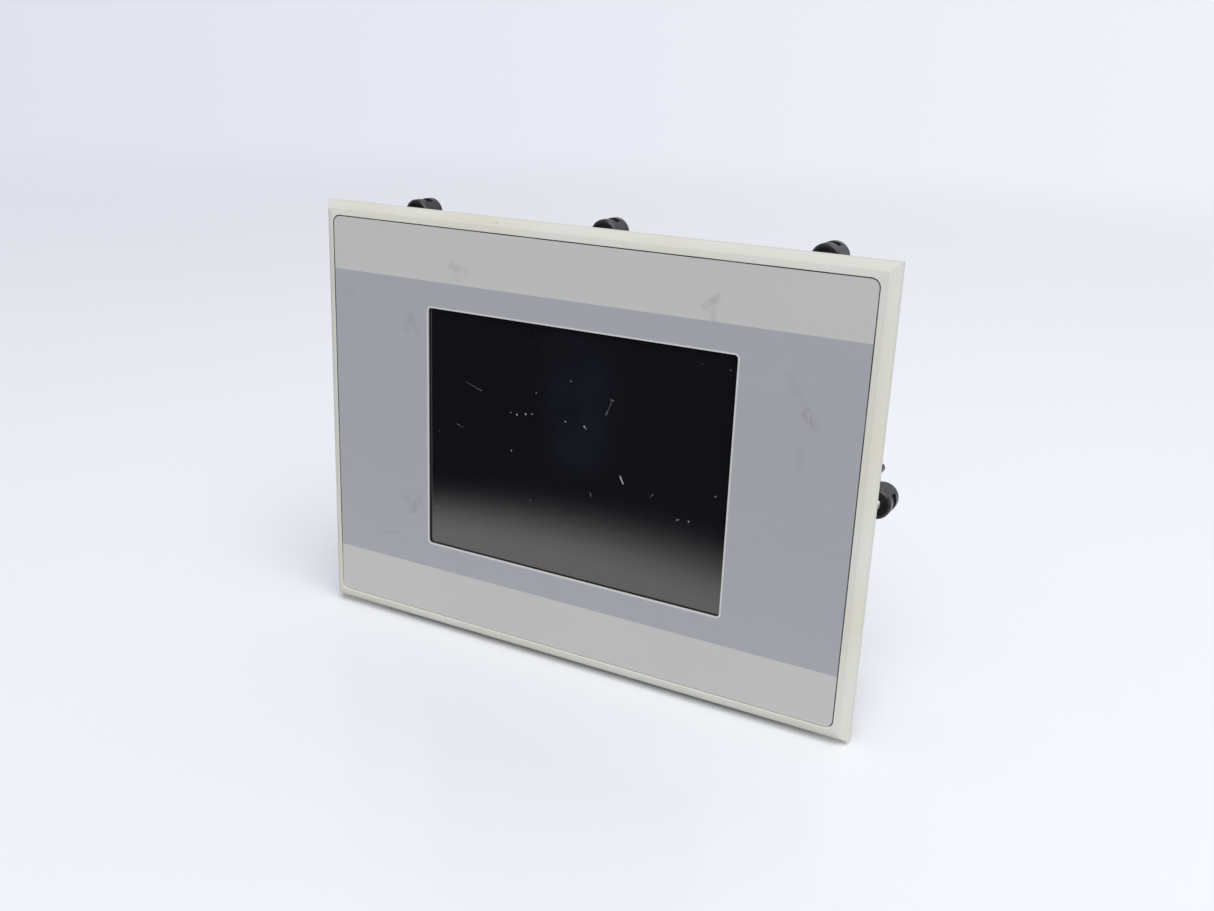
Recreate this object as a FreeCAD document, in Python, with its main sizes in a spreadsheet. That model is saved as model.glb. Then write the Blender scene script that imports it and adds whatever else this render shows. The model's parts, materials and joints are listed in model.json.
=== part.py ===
import FreeCAD, Part
import Sketcher
import math
import os
import re

# HMI touch panel for a 198 x 142 mm panel cut-out.
# Frame: the origin is the middle of the bezel's sealing face, which lies on y = 0. The front faces -Y,
# the housing reaches back along +Y, +X is to the right seen from the front, and +Z is up.

Vector = FreeCAD.Vector
Rotation = FreeCAD.Rotation
Placement = FreeCAD.Placement

# Driving dimensions in millimetres. Names that end in _y are places along the depth.
SIZES = {
    # bezel
    "bezel_width": 211.6, "bezel_height": 155.6, "bezel_depth": 6,
    "rim_chamfer_width": 2.6, "rim_chamfer_depth": 3.2,
    "recess_width": 202.2, "recess_height": 146.2, "recess_depth": 0.5, "recess_radius": 3,
    "aperture_width": 118.8, "aperture_height": 89.6, "aperture_radius": 1.4,
    "touch_pocket_width": 128.6, "touch_pocket_height": 99.6, "touch_front_y": -4.9,
    "display_pocket_width": 146, "display_pocket_height": 107,
    "groove_width": 205, "groove_height": 149, "groove_breadth": 2.6, "groove_depth": 1.2,
    "groove_radius": 4, "gasket_breadth": 2.4, "gasket_proud": 0.7,
    "relief_depth": 3, "relief_gap": 3, "relief_breadth": 7,
    "skirt_width": 193, "skirt_height": 137, "skirt_wall": 1.8, "skirt_length": 6, "skirt_radius": 2.4,
    "boss_radius": 3, "post_x": 93.2, "post_z": 60,
    # label
    "label_margin": 0.4, "label_thickness": 0.45,
    "window_width": 118, "window_height": 88.8, "window_radius": 1.2,
    # touch screen and display module
    "film_thickness": 0.25, "glass_thickness": 2, "touch_width": 128, "touch_height": 99,
    "foam_thickness": 1, "foam_breadth": 4,
    "frame_width": 144, "frame_height": 104.6, "frame_sheet": 0.6, "frame_length": 9.6,
    "cell_width": 132, "cell_height": 98, "cell_thickness": 2.2,
    "guide_width": 130, "guide_height": 93, "guide_rise": 2.2, "guide_thickness": 5.2,
    "lamp_radius": 1.2, "lamp_z": -47, "lamp_length": 126, "lamp_holder": 3, "lamp_holder_side": 4,
    "tray_gap": 0.1, "tray_floor": 2, "tray_clearance": 0.3,
    # chassis, posts and screws
    "chassis_width": 193, "chassis_height": 128, "chassis_sheet": 1.2,
    "screw_radius": 1.5, "screw_length": 6, "screw_head_radius": 2.8, "screw_head_height": 2.2,
    "screw_head_taper": 0.6, "cross_length": 3, "cross_breadth": 0.7, "cross_depth": 1.1,
    "screw_clearance": 0.2, "thread_clearance": 0.05, "hexagon_radius": 3.175,
    "post_hole_depth": 8, "stud_length": 5, "stud_hole_depth": 6,
    "spacer_length": 10, "spacer_low_x": 74, "spacer_low_z": -58, "spacer_high_x": 50, "spacer_high_z": 48,
    # inverter that feeds the lamp, and the display's flat cable
    "inverter_x": -35, "inverter_z": 25, "inverter_width": 54, "inverter_height": 14,
    "inverter_sheet": 1.2, "inverter_rise": 2, "inverter_foot": 3, "inverter_foot_x": 23.5,
    "coil_width": 18, "coil_height": 10, "coil_rise": 5.4,
    "flex_x": 33, "flex_z": 30, "flex_width": 24, "flex_thickness": 0.3, "flex_slot": 2.4, "flex_margin": 2,
    "flex_socket_height": 4, "flex_socket_depth": 2.5,
    # main board
    "board_half_width": 82, "board_low_z": -66, "board_high_z": 54, "board_thickness": 1.6,
    "board_tab_x": -94.5, "board_tab_z": 54,
    "fin_base": 2, "fin_height": 12, "fin_thickness": 1.2, "fin_count": 7, "sink_side": 32,
    "memory_x": -30, "memory_z": -14, "memory_width": 18, "memory_height": 8, "memory_thickness": 1.1,
    "memory_pitch": 11, "memory_count": 4,
    "capacitor_x": 48, "capacitor_z": -16, "capacitor_radius": 4, "capacitor_height": 10.5,
    "capacitor_pitch": 11, "capacitor_count": 3,
    "coin_radius": 10, "coin_thickness": 3.2, "coin_x": 58, "coin_z": 30,
    "tab_width": 26, "tab_height": 4, "tab_thickness": 0.3,
    # rear cover
    "cover_width": 196.5, "cover_height": 140.5, "cover_front_y": 2.5, "cover_back_y": 49,
    "cover_step_y": 29.4, "cover_rear_width": 180, "cover_sheet": 1, "cover_radius": 3,
    "cutout_gap": 0.3, "usb_cutout_gap": 0.1, "card_cutout_gap": 0.5, "eject_cutout_gap": 0.2,
    "vent_breadth": 3, "vent_pitch": 7, "vent_front_y": 37, "vent_length": 8, "vent_count": 17,
    "plate_width": 80, "plate_height": 40, "plate_thickness": 0.3, "plate_z": 8, "plate_radius": 1,
    "earth_x": 66, "earth_z": -48, "earth_radius": 2, "earth_length": 11, "earth_head_height": 1.2,
    "earth_neck_radius": 1.6, "earth_neck_length": 0.2, "earth_nut_radius": 4.04, "earth_nut_height": 3.2,
    "earth_nut_gap": 0.05,
    # connectors in the bottom wall
    "serial_x": -46, "fieldbus_x": 33, "network_x": -20, "power_x": 59, "port_proud": 0.8,
    "port_flange_width": 30.8, "port_flange_height": 12.5, "port_flange_sheet": 0.8,
    "port_body_width": 19.3, "port_body_length": 11, "port_shell_width": 16.9,
    "port_shell_height": 8.4, "port_shell_slope": 1.5, "port_shell_length": 5.4,
    "port_shell_radius": 2, "contact_pitch": 2.77, "contact_row": 1.42, "contact_radius": 0.55,
    "contact_depth": 4, "jack_screw_pitch": 25, "jack_screw_radius": 2.77, "jack_screw_height": 4.8,
    "jack_thread_radius": 1.25, "jack_shank_radius": 1.4, "jack_shank_length": 4, "jack_eye_gap": 0.1,
    "network_width": 16, "network_height": 13.5, "network_length": 16,
    "mouth_width": 11.8, "mouth_height": 8, "mouth_depth": 11, "mouth_wall": 2,
    "latch_width": 6.2, "latch_depth": 1.6,
    "header_width": 17.4, "header_height": 8.8, "header_length": 12.5, "header_wall": 0.8,
    "pin_side": 1, "pin_pitch": 5.08, "pin_length": 7.5, "header_floor": 3.5, "pin_root": 1,
    "plug_gap": 0.1, "plug_grip_width": 17, "plug_grip_height": 9.8, "plug_grip_length": 8.2,
    "wire_entry": 3.4, "wire_entry_depth": 5, "plug_hole_margin": 0.5, "plug_screw_radius": 1.7,
    "plug_screw_sink": 0.4, "plug_screw_height": 0.6, "plug_slot_breadth": 0.6, "plug_slot_depth": 0.3,
    # left wall: card slot, usb port, reset button
    "cage_low_z": 6.4, "cage_high_z": 56.6, "cage_height": 6.5, "cage_length": 38, "cage_gap": 0.3,
    "card_width": 42.8, "card_length": 36.4, "card_thickness": 3.3, "card_z": 34.4, "card_gap": 0.15,
    "card_proud": 1.5, "card_grip_width": 20, "card_grip_length": 1, "card_grip_depth": 0.6,
    "eject_z": 9, "eject_side": 2.6, "eject_gap": 0.08, "eject_travel": 3,
    "eject_cap_side": 4.6, "eject_cap_length": 1.6, "button_gap": 0.4,
    "usb_z": -30, "usb_width": 13.4, "usb_height": 7.1, "usb_length": 14, "usb_wall": 0.5,
    "usb_inset": 0.2, "usb_depth": 9, "usb_floor": 1, "usb_tongue": 1.8, "usb_tongue_width": 11,
    "usb_tongue_inset": 0.8, "usb_tongue_gap": 1.1, "usb_tongue_root": 1,
    "reset_z": -46, "reset_radius": 1.8, "reset_rise": 3, "reset_gap": 0.08,
    "reset_travel": 0.6, "reset_collar_radius": 2.6, "reset_collar_length": 0.8, "reset_collar_gap": 0.1,
    "switch_side": 6, "switch_inset": 0.5,
    # panel clamps
    "clamp_pitch": 77.5, "clamp_shift": 0.65, "clamp_inset": 3.7, "clamp_front_y": 11,
    "clamp_length": 10,
    "clamp_radius": 5, "clamp_chamfer": 0.6, "clamp_dish_radius": 3.6, "clamp_dish_depth": 0.8,
    "clamp_gap": 0.1, "lobe_radius": 1.6, "lobe_offset": 9.4, "lobe_drop": 2.1, "web_relief": 1,
    "foot_thickness": 1.6,
    "neck_width": 3, "hook_width": 7, "hook_thickness": 1.4, "neck_start": 2, "neck_length": 6,
    "clamp_travel": 8, "keyhole_gap": 0.2, "keyhole_depth": 9.4,
    "nut_side": 5.5, "nut_height": 1.8, "nut_notch": 5.7, "nut_notch_height": 3.4, "nut_start": 3.4,
    "set_screw_tip_y": 4.95, "set_screw_length": 19, "set_screw_gap": 0.06,
    "socket_radius": 0.87, "socket_depth": 2, "tip_chamfer": 0.5,
}

# Parts that stand flat on the main board: middle x and z, width, height and thickness.
CHIPS = {
    "processor": (6, 8, 27, 27, 2),
    "bridge": (34, 2, 14, 14, 1.4),
    "bus_driver": (33, -34, 10, 10, 1.4),
    "magnetics": (-20, -40, 16, 9, 5),
    "choke": (58, -36, 12, 12, 7),
}
for chip, chip_sizes in CHIPS.items():
    for side, size in zip(("x", "z", "width", "height", "thickness"), chip_sizes):
        SIZES[f"{chip}_{side}"] = size

# Places along the depth that several pieces share, from the front to the back.
BEZEL_FRONT = "-bezel_depth"
GLASS_FRONT = "touch_front_y + film_thickness"
GLASS_BACK = f"{GLASS_FRONT} + glass_thickness"
DISPLAY_FRONT = f"{GLASS_BACK} + foam_thickness"
CELL_FRONT = f"{DISPLAY_FRONT} + frame_sheet"
GUIDE_FRONT = f"{CELL_FRONT} + cell_thickness"
GUIDE_BACK = f"{GUIDE_FRONT} + guide_thickness"
CHASSIS_FRONT = f"{GUIDE_BACK} + tray_floor"
CHASSIS_BACK = f"{CHASSIS_FRONT} + chassis_sheet"
BOARD_FRONT = f"{CHASSIS_BACK} + spacer_length"
BOARD_BACK = f"{BOARD_FRONT} + board_thickness"
SHELF_INSIDE = "cover_step_y - cover_sheet"
COVER_INSIDE = "cover_back_y - cover_sheet"
COVER_BOTTOM = "-cover_height / 2"
COVER_LEFT = "-cover_width / 2"

doc = FreeCAD.newDocument("touch_panel")
sheet = doc.addObject("Spreadsheet::Sheet", "Sizes")
for row, (alias, size) in enumerate(SIZES.items(), 1):
    sheet.set(f"A{row}", alias)
    sheet.set(f"B{row}", str(size))
    sheet.setAlias(f"B{row}", alias)
doc.recompute()

nodes = []


def linked(text):
    """The expression with each size in it pointed at its cell of the sheet."""
    return re.sub(r"[a-z_]{2,}", lambda word: "Sizes." + word[0] if word[0] in SIZES else word[0], text)


def number(text):
    """The value of an expression now."""
    return float(sheet.evalExpression(linked(text)))


def bind(piece, prop, text):
    piece.setExpression(prop, linked(text))


def node(piece, name):
    """Names a finished sub-part."""
    piece.Label = name
    nodes.append(piece)
    return piece


def span(middle, size):
    """The low and high ends of a stretch about its middle."""
    return f"({middle}) - ({size}) / 2", f"({middle}) + ({size}) / 2"


def mirrored(size):
    return span("0", size)


def box(name, x, y, z):
    """A box between three pairs of places."""
    piece = doc.addObject("Part::Box", name)
    for side, axis, (low, high) in zip(("Length", "Width", "Height"), "xyz", (x, y, z)):
        bind(piece, side, f"({high}) - ({low})")
        bind(piece, "Placement.Base." + axis, low)
    return piece


def round_piece(kind, name, x, y, z, sizes):
    """A round or prismatic piece along the one direction that is given as a pair of places."""
    piece = doc.addObject(kind, name)
    for prop, text in sizes.items():
        bind(piece, prop, text)
    for axis, place in zip("xyz", (x, y, z)):
        if isinstance(place, tuple):
            along = Vector(axis == "x", axis == "y", axis == "z")
            piece.Placement = Placement(Vector(), Rotation(Vector(0, 0, 1), along))
            bind(piece, "Height", f"({place[1]}) - ({place[0]})")
    for axis, place in zip("xyz", (x, y, z)):
        bind(piece, "Placement.Base." + axis, place[0] if isinstance(place, tuple) else place)
    return piece


def rod(name, radius, x, y, z):
    return round_piece("Part::Cylinder", name, x, y, z, {"Radius": radius})


def cone(name, low_radius, high_radius, x, y, z):
    return round_piece("Part::Cone", name, x, y, z, {"Radius1": low_radius, "Radius2": high_radius})


def hexagon(name, radius, x, y, z):
    piece = round_piece("Part::Prism", name, x, y, z, {"Circumradius": radius})
    piece.Polygon = 6
    return piece


def fuse(name, pieces):
    joined = doc.addObject("Part::MultiFuse", name)
    joined.Shapes = pieces
    return joined


def group(name, pieces):
    """Separate solids that share one node."""
    joined = doc.addObject("Part::Compound", name)
    joined.Links = pieces
    return joined


def cut(name, base, tools):
    result = doc.addObject("Part::Cut", name)
    result.Base = base
    result.Tool = tools[0] if len(tools) == 1 else fuse(name + "_tools", tools)
    return result


def corners(x, z):
    """The four mirrored places of a point, as texts."""
    return [(sx + x, sz + z) for sx in ("", "-") for sz in ("", "-")]


# ---- sketched bodies ----

def sketch_at(body, name, y):
    """A sketch that looks along the depth at y; its second direction is +Z."""
    sketch = body.newObject("Sketcher::SketchObject", name)
    plane = next(one for one in body.Origin.OriginFeatures if one.Role == "XZ_Plane")
    sketch.AttachmentSupport = [(plane, "")]
    sketch.MapMode = "FlatFace"
    bind(sketch, "AttachmentOffset.Base.z", f"-({y})")
    return sketch


def constrain(sketch, name, text, kind, *places):
    """A driving dimension of a sketch, bound to the sheet."""
    index = sketch.addConstraint(Sketcher.Constraint(kind, *places, number(text)))
    sketch.renameConstraint(index, name)
    bind(sketch, "Constraints." + name, text)


def draw_rectangle(sketch, name, width, height, radius="", x="0", z="0"):
    """A rectangle about x, z, with round corners where a radius is given."""
    half_width = number(width) / 2
    half_height = number(height) / 2
    curve = number(radius) if radius else 0
    middle = Vector(number(x), number(z), 0)
    signs = [(1, -1), (1, 1), (-1, 1), (-1, -1)]
    centres = [middle + Vector(sx * (half_width - curve), sz * (half_height - curve), 0) for sx, sz in signs]
    steps = [Vector(0, -curve, 0), Vector(curve, 0, 0), Vector(0, curve, 0), Vector(-curve, 0, 0)]
    lines = []
    arcs = []
    for side in range(4):
        line = Part.LineSegment(centres[side - 1] + steps[side], centres[side] + steps[side])
        lines.append(sketch.addGeometry(line, False))
    if radius:
        quarter = math.pi / 2
        for side in range(4):
            circle = Part.Circle(centres[side], Vector(0, 0, 1), curve)
            arc = Part.ArcOfCircle(circle, quarter * (side - 1), quarter * side)
            arcs.append(sketch.addGeometry(arc, False))
    for side in range(4):
        following = lines[(side + 1) % 4]
        if radius:
            sketch.addConstraint(Sketcher.Constraint("Tangent", lines[side], 2, arcs[side], 1))
            sketch.addConstraint(Sketcher.Constraint("Tangent", arcs[side], 2, following, 1))
        else:
            sketch.addConstraint(Sketcher.Constraint("Coincident", lines[side], 2, following, 1))
        sketch.addConstraint(Sketcher.Constraint("Vertical" if side % 2 else "Horizontal", lines[side]))
    if radius:
        for arc in arcs[1:]:
            sketch.addConstraint(Sketcher.Constraint("Equal", arcs[0], arc))
        constrain(sketch, name + "_radius", radius, "Radius", arcs[0])
    constrain(sketch, name + "_width", width, "DistanceX", lines[3], 1, lines[1], 1)
    constrain(sketch, name + "_height", height, "DistanceY", lines[0], 1, lines[2], 1)
    constrain(sketch, name + "_x", f"{x} + ({width}) / 2", "DistanceX", -1, 1, lines[1], 1)
    constrain(sketch, name + "_z", f"{z} + ({height}) / 2", "DistanceY", -1, 1, lines[2], 1)


def draw_circle(sketch, name, radius, x, z):
    circle = Part.Circle(Vector(number(x), number(z), 0), Vector(0, 0, 1), number(radius))
    index = sketch.addGeometry(circle, False)
    constrain(sketch, name + "_radius", radius, "Radius", index)
    constrain(sketch, name + "_x", x, "DistanceX", -1, 1, index, 3)
    constrain(sketch, name + "_z", z, "DistanceY", -1, 1, index, 3)


def draw(sketch, outlines, radius, places):
    """Rectangles, and a circle of one radius at each place."""
    for index, outline in enumerate(outlines):
        draw_rectangle(sketch, f"{sketch.Name}_{index}", *outline)
    for index, (x, z) in enumerate(places):
        draw_circle(sketch, f"{sketch.Name}_hole_{index}", radius, x, z)


def grow(body, name, y, length, outlines, radius="", places=()):
    """Adds material from y backwards."""
    sketch = sketch_at(body, name + "_sketch", y)
    draw(sketch, outlines, radius, places)
    pad = body.newObject("PartDesign::Pad", name)
    pad.Profile = sketch
    pad.Reversed = True
    bind(pad, "Length", length)
    return pad


def sink(body, name, y, depth, outlines, from_back=False, radius="", places=()):
    """Removes material from y backwards, or forwards where it is cut from the back."""
    sketch = sketch_at(body, name + "_sketch", y)
    draw(sketch, outlines, radius, places)
    pocket = body.newObject("PartDesign::Pocket", name)
    pocket.Profile = sketch
    pocket.Reversed = from_back
    bind(pocket, "Length", depth)
    return pocket


def plate(name, y, thickness, outlines, radius="", places=()):
    """A flat piece with openings."""
    body = doc.addObject("PartDesign::Body", name)
    grow(body, name + "_pad", y, thickness, outlines, radius, places)
    return node(body, name)


def outer_edges(shape, y, half_width):
    """Names of the edges at y that lie outside half_width or run the whole width."""
    names = []
    for index, edge in enumerate(shape.Edges, 1):
        limits = edge.BoundBox
        if abs(limits.YMin - y) < 1e-6 and abs(limits.YMax - y) < 1e-6:
            if max(abs(limits.XMin), abs(limits.XMax)) > half_width:
                names.append(f"Edge{index}")
    return names


# ---- front: bezel, label, gasket ----

def make_bezel():
    body = doc.addObject("PartDesign::Body", "front_bezel")
    block = grow(body, "bezel_block", BEZEL_FRONT, "bezel_depth", [("bezel_width", "bezel_height")])
    doc.recompute()
    rim = body.newObject("PartDesign::Chamfer", "rim_chamfer")
    rim.Base = (block, outer_edges(block.Shape, number(BEZEL_FRONT), number("bezel_width / 2 - 1")))
    rim.ChamferType = "Two distances"
    bind(rim, "Size", "rim_chamfer_depth")
    bind(rim, "Size2", "rim_chamfer_width")
    recess = ("recess_width", "recess_height", "recess_radius")
    sink(body, "label_recess", BEZEL_FRONT, "recess_depth", [recess])
    aperture = ("aperture_width", "aperture_height", "aperture_radius")
    sink(body, "aperture", BEZEL_FRONT, "bezel_depth", [aperture])
    sink(body, "touch_pocket", "0", "-touch_front_y", [("touch_pocket_width", "touch_pocket_height")], True)
    display = ("display_pocket_width", "display_pocket_height")
    sink(body, "display_pocket", "0", f"-({DISPLAY_FRONT})", [display], True)
    groove = [("groove_width + groove_breadth", "groove_height + groove_breadth", "groove_radius"),
              ("groove_width - groove_breadth", "groove_height - groove_breadth",
               "groove_radius - groove_breadth")]
    sink(body, "gasket_groove", "0", "groove_depth", groove, True)
    side_x = "display_pocket_width / 2 + relief_gap + relief_breadth / 2"
    end_z = "display_pocket_height / 2 + relief_gap + relief_breadth / 2"
    side = ("relief_breadth", "display_pocket_height", "", side_x)
    end = ("display_pocket_width", "relief_breadth", "", "0", end_z)
    other_side = ("relief_breadth", "display_pocket_height", "", f"-({side_x})")
    other_end = ("display_pocket_width", "relief_breadth", "", "0", f"-({end_z})")
    sink(body, "relief", "0", "relief_depth", [side, other_side, end, other_end], True)
    skirt = [("skirt_width", "skirt_height", "skirt_radius"),
             ("skirt_width - 2 * skirt_wall", "skirt_height - 2 * skirt_wall",
              "skirt_radius - skirt_wall")]
    grow(body, "skirt", "0", "skirt_length", skirt)
    posts = corners("post_x", "post_z")
    grow(body, "bosses", "0", CHASSIS_FRONT, [], "boss_radius", posts)
    sink(body, "boss_holes", CHASSIS_FRONT, "stud_hole_depth", [], True,
         "screw_radius + thread_clearance", posts)
    node(body, "front_bezel")


def make_front():
    make_bezel()
    label = ("recess_width - 2 * label_margin", "recess_height - 2 * label_margin",
             "recess_radius - label_margin")
    window = ("window_width", "window_height", "window_radius")
    label_front = f"{BEZEL_FRONT} + recess_depth - label_thickness"
    plate("front_label", label_front, "label_thickness", [label, window])
    ring = [("groove_width + gasket_breadth", "groove_height + gasket_breadth", "groove_radius"),
            ("groove_width - gasket_breadth", "groove_height - gasket_breadth",
             "groove_radius - gasket_breadth")]
    plate("panel_gasket", "-groove_depth", "groove_depth + gasket_proud", ring)


# ---- touch screen and display module ----

def make_display():
    touch = ("touch_width", "touch_height")
    plate("touch_film", "touch_front_y", "film_thickness", [touch])
    plate("touch_glass", GLASS_FRONT, "glass_thickness", [touch])
    foam_window = ("touch_width - 2 * foam_breadth", "touch_height - 2 * foam_breadth")
    plate("lcd_gasket", GLASS_BACK, "foam_thickness", [touch, foam_window])

    frame = doc.addObject("PartDesign::Body", "lcd_front_frame")
    outline = ("frame_width", "frame_height")
    inside = ("frame_width - 2 * frame_sheet", "frame_height - 2 * frame_sheet")
    grow(frame, "frame_block", DISPLAY_FRONT, "frame_length", [outline])
    sink(frame, "frame_hollow", CELL_FRONT, "frame_length", [inside])
    sink(frame, "frame_window", DISPLAY_FRONT, "frame_sheet", [("aperture_width", "aperture_height")])
    node(frame, "lcd_front_frame")

    plate("lcd_cell", CELL_FRONT, "cell_thickness", [("cell_width", "cell_height")])
    guide = ("guide_width", "guide_height", "", "0", "guide_rise")
    plate("light_guide", GUIDE_FRONT, "guide_thickness", [guide])

    lamp_y = f"{GUIDE_FRONT} + guide_thickness / 2"
    tube = rod("lamp_tube", "lamp_radius", mirrored("lamp_length"), lamp_y, "lamp_z")
    holder_y = (GUIDE_FRONT, GUIDE_BACK)
    holder_z = span("lamp_z", "lamp_holder_side")
    holder_x = "(lamp_length + lamp_holder) / 2"
    holders = [box("lamp_holder_right", span(holder_x, "lamp_holder"), holder_y, holder_z),
               box("lamp_holder_left", span(f"-{holder_x}", "lamp_holder"), holder_y, holder_z)]
    node(fuse("lamp", [tube] + holders), "backlight_lamp")

    tray = doc.addObject("PartDesign::Body", "lcd_rear_tray")
    margin = "2 * frame_sheet - 2 * tray_gap"
    grow(tray, "tray_block", CELL_FRONT, f"{CHASSIS_FRONT} - ({CELL_FRONT})",
         [(f"frame_width - {margin}", f"frame_height - {margin}")])
    sink(tray, "tray_hollow", CELL_FRONT, f"{GUIDE_BACK} - ({CELL_FRONT})",
         [("cell_width + 2 * tray_clearance", "cell_height + 2 * tray_clearance")])
    node(tray, "lcd_rear_tray")


# ---- chassis, posts, spacers and screws ----

def pan_head_screw(name, x, seat_y, z):
    """A pan-head screw whose head stands behind the seat."""
    shank = rod(name + "_shank", "screw_radius", x, (f"{seat_y} - screw_length", seat_y), z)
    head_back = f"{seat_y} + screw_head_height"
    head = cone(name + "_head", "screw_head_radius", "screw_head_radius - screw_head_taper", x,
                (seat_y, head_back), z)
    recess_y = (f"{head_back} - cross_depth", head_back)
    recess = [box(name + "_slot_x", span(x, "cross_length"), recess_y, span(z, "cross_breadth")),
              box(name + "_slot_z", span(x, "cross_breadth"), recess_y, span(z, "cross_length"))]
    return cut(name, fuse(name + "_blank", [shank, head]), recess)


def hexagon_post(name, x, front_y, back_y, z, hole_depth):
    """A hexagon pillar with a threaded hole in its rear end."""
    pillar = hexagon(name + "_pillar", "hexagon_radius", x, (front_y, back_y), z)
    hole = rod(name + "_hole", "screw_radius + thread_clearance", x, (f"{back_y} - {hole_depth}", back_y), z)
    return pillar, hole


def make_structure():
    posts = corners("post_x", "post_z")
    flex_slot = ("flex_width + flex_margin", "flex_slot", "", "flex_x", "flex_z")
    plate("chassis_plate", CHASSIS_FRONT, "chassis_sheet", [("chassis_width", "chassis_height"), flex_slot],
          "screw_radius + screw_clearance", posts)

    pillars = []
    screws = []
    for index, (x, z) in enumerate(posts):
        pillar, hole = hexagon_post(f"post_{index}", x, CHASSIS_BACK, SHELF_INSIDE, z, "post_hole_depth")
        stud = rod(f"post_{index}_stud", "screw_radius", x,
                   (f"{CHASSIS_FRONT} - stud_length", CHASSIS_BACK), z)
        pillars.append(cut(f"post_{index}", fuse(f"post_{index}_blank", [pillar, stud]), [hole]))
        screws.append(pan_head_screw(f"cover_screw_{index}", x, "cover_step_y", z))
    node(group("posts", pillars), "cover_posts")

    spacers = []
    for index, (x, z) in enumerate(board_fixings()):
        pillar, hole = hexagon_post(f"spacer_{index}", x, CHASSIS_BACK, BOARD_FRONT, z, "screw_length")
        spacers.append(cut(f"spacer_{index}", pillar, [hole]))
        screws.append(pan_head_screw(f"board_screw_{index}", x, BOARD_BACK, z))
    node(group("spacers", spacers), "board_spacers")
    node(group("screws", screws), "panhead_screws")


def board_fixings():
    """Where the main board is screwed down; the two high places keep clear of the card cage."""
    return [(f"{sign}spacer_{end}_x", f"spacer_{end}_z") for sign in ("", "-") for end in ("low", "high")]


# ---- main board and what stands on it ----

def on_board(name, kind, x, z):
    """A block that stands on the rear side of the board, with the width, height and thickness of its kind."""
    return box(name, span(x, f"{kind}_width"), (BOARD_BACK, f"{BOARD_BACK} + {kind}_thickness"),
               span(z, f"{kind}_height"))


def make_board():
    depth = (BOARD_FRONT, BOARD_BACK)
    blank = fuse("board_blank", [
        box("board_panel", mirrored("2 * board_half_width"), depth, ("board_low_z", "board_high_z")),
        box("board_tab", ("board_tab_x", "-board_half_width"), depth, mirrored("2 * board_tab_z"))])
    holes = [rod(f"board_hole_{index}", "screw_radius + screw_clearance", x, depth, z)
             for index, (x, z) in enumerate(board_fixings())]
    node(cut("board", blank, holes), "main_board")

    chips = [on_board(chip, chip, f"{chip}_x", f"{chip}_z") for chip in CHIPS]
    for index in range(int(number("memory_count"))):
        chips.append(on_board(f"memory_{index}", "memory", "memory_x", f"memory_z + {index} * memory_pitch"))
    switch_left = "board_tab_x + switch_inset"
    chips.append(box("reset_switch", (switch_left, f"{switch_left} + switch_side"),
                     (BOARD_BACK, f"{BOARD_BACK} + switch_side"), span("reset_z", "switch_side")))
    for index in range(int(number("capacitor_count"))):
        chips.append(rod(f"capacitor_{index}", "capacitor_radius", f"capacitor_x + {index} * capacitor_pitch",
                         (BOARD_BACK, f"{BOARD_BACK} + capacitor_height"), "capacitor_z"))
    socket_low = "flex_z + flex_thickness"
    chips.append(box("flex_socket", span("flex_x", "flex_width + 2 * flex_margin"),
                     (f"{BOARD_FRONT} - flex_socket_depth", BOARD_FRONT),
                     (socket_low, f"{socket_low} + flex_socket_height")))
    node(group("chips", chips), "board_chips")

    sink_front = f"{BOARD_BACK} + processor_thickness"
    fin_y = (f"{sink_front} + fin_base", f"{sink_front} + fin_base + fin_height")
    pitch = "((sink_side - fin_thickness) / (fin_count - 1))"
    base = box("sink_base", span("processor_x", "sink_side"), (sink_front, f"{sink_front} + fin_base"),
               span("processor_z", "sink_side"))
    fins = []
    for index in range(int(number("fin_count"))):
        left = f"processor_x - sink_side / 2 + {index} * {pitch}"
        fins.append(box(f"sink_fin_{index}", (left, f"{left} + fin_thickness"), fin_y,
                        span("processor_z", "sink_side")))
    node(fuse("sink", [base] + fins), "heat_sink")

    tab_back = f"{BOARD_BACK} + tab_thickness"
    coin = rod("coin_can", "coin_radius", "coin_x", (tab_back, f"{tab_back} + coin_thickness"), "coin_z")
    tab = box("coin_tab", span("coin_x", "tab_width"), (BOARD_BACK, tab_back), span("coin_z", "tab_height"))
    node(fuse("coin_cell", [coin, tab]), "battery_cell")

    flex_y = (CHASSIS_FRONT, BOARD_FRONT)
    node(box("flex", span("flex_x", "flex_width"), flex_y, ("flex_z", socket_low)), "display_flex")


def make_inverter():
    """The small board behind the chassis that feeds the lamp."""
    panel_front = f"{CHASSIS_BACK} + inverter_rise"
    panel_back = f"{panel_front} + inverter_sheet"
    coil_z = span("inverter_z", "coil_height")
    pieces = [
        box("inverter_panel", span("inverter_x", "inverter_width"), (panel_front, panel_back),
            span("inverter_z", "inverter_height")),
        box("inverter_coil", span("inverter_x", "coil_width"),
            (panel_back, f"{panel_back} + coil_rise"), coil_z)]
    for side, sign in (("left", "-"), ("right", "+")):
        foot_x = span(f"inverter_x {sign} inverter_foot_x", "inverter_foot")
        pieces.append(box(f"inverter_foot_{side}", foot_x, (CHASSIS_BACK, panel_front), coil_z))
    node(fuse("inverter", pieces), "inverter_board")


# ---- connectors in the bottom wall ----

def port_middle_y():
    return f"{BOARD_BACK} + port_flange_height / 2"


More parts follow.
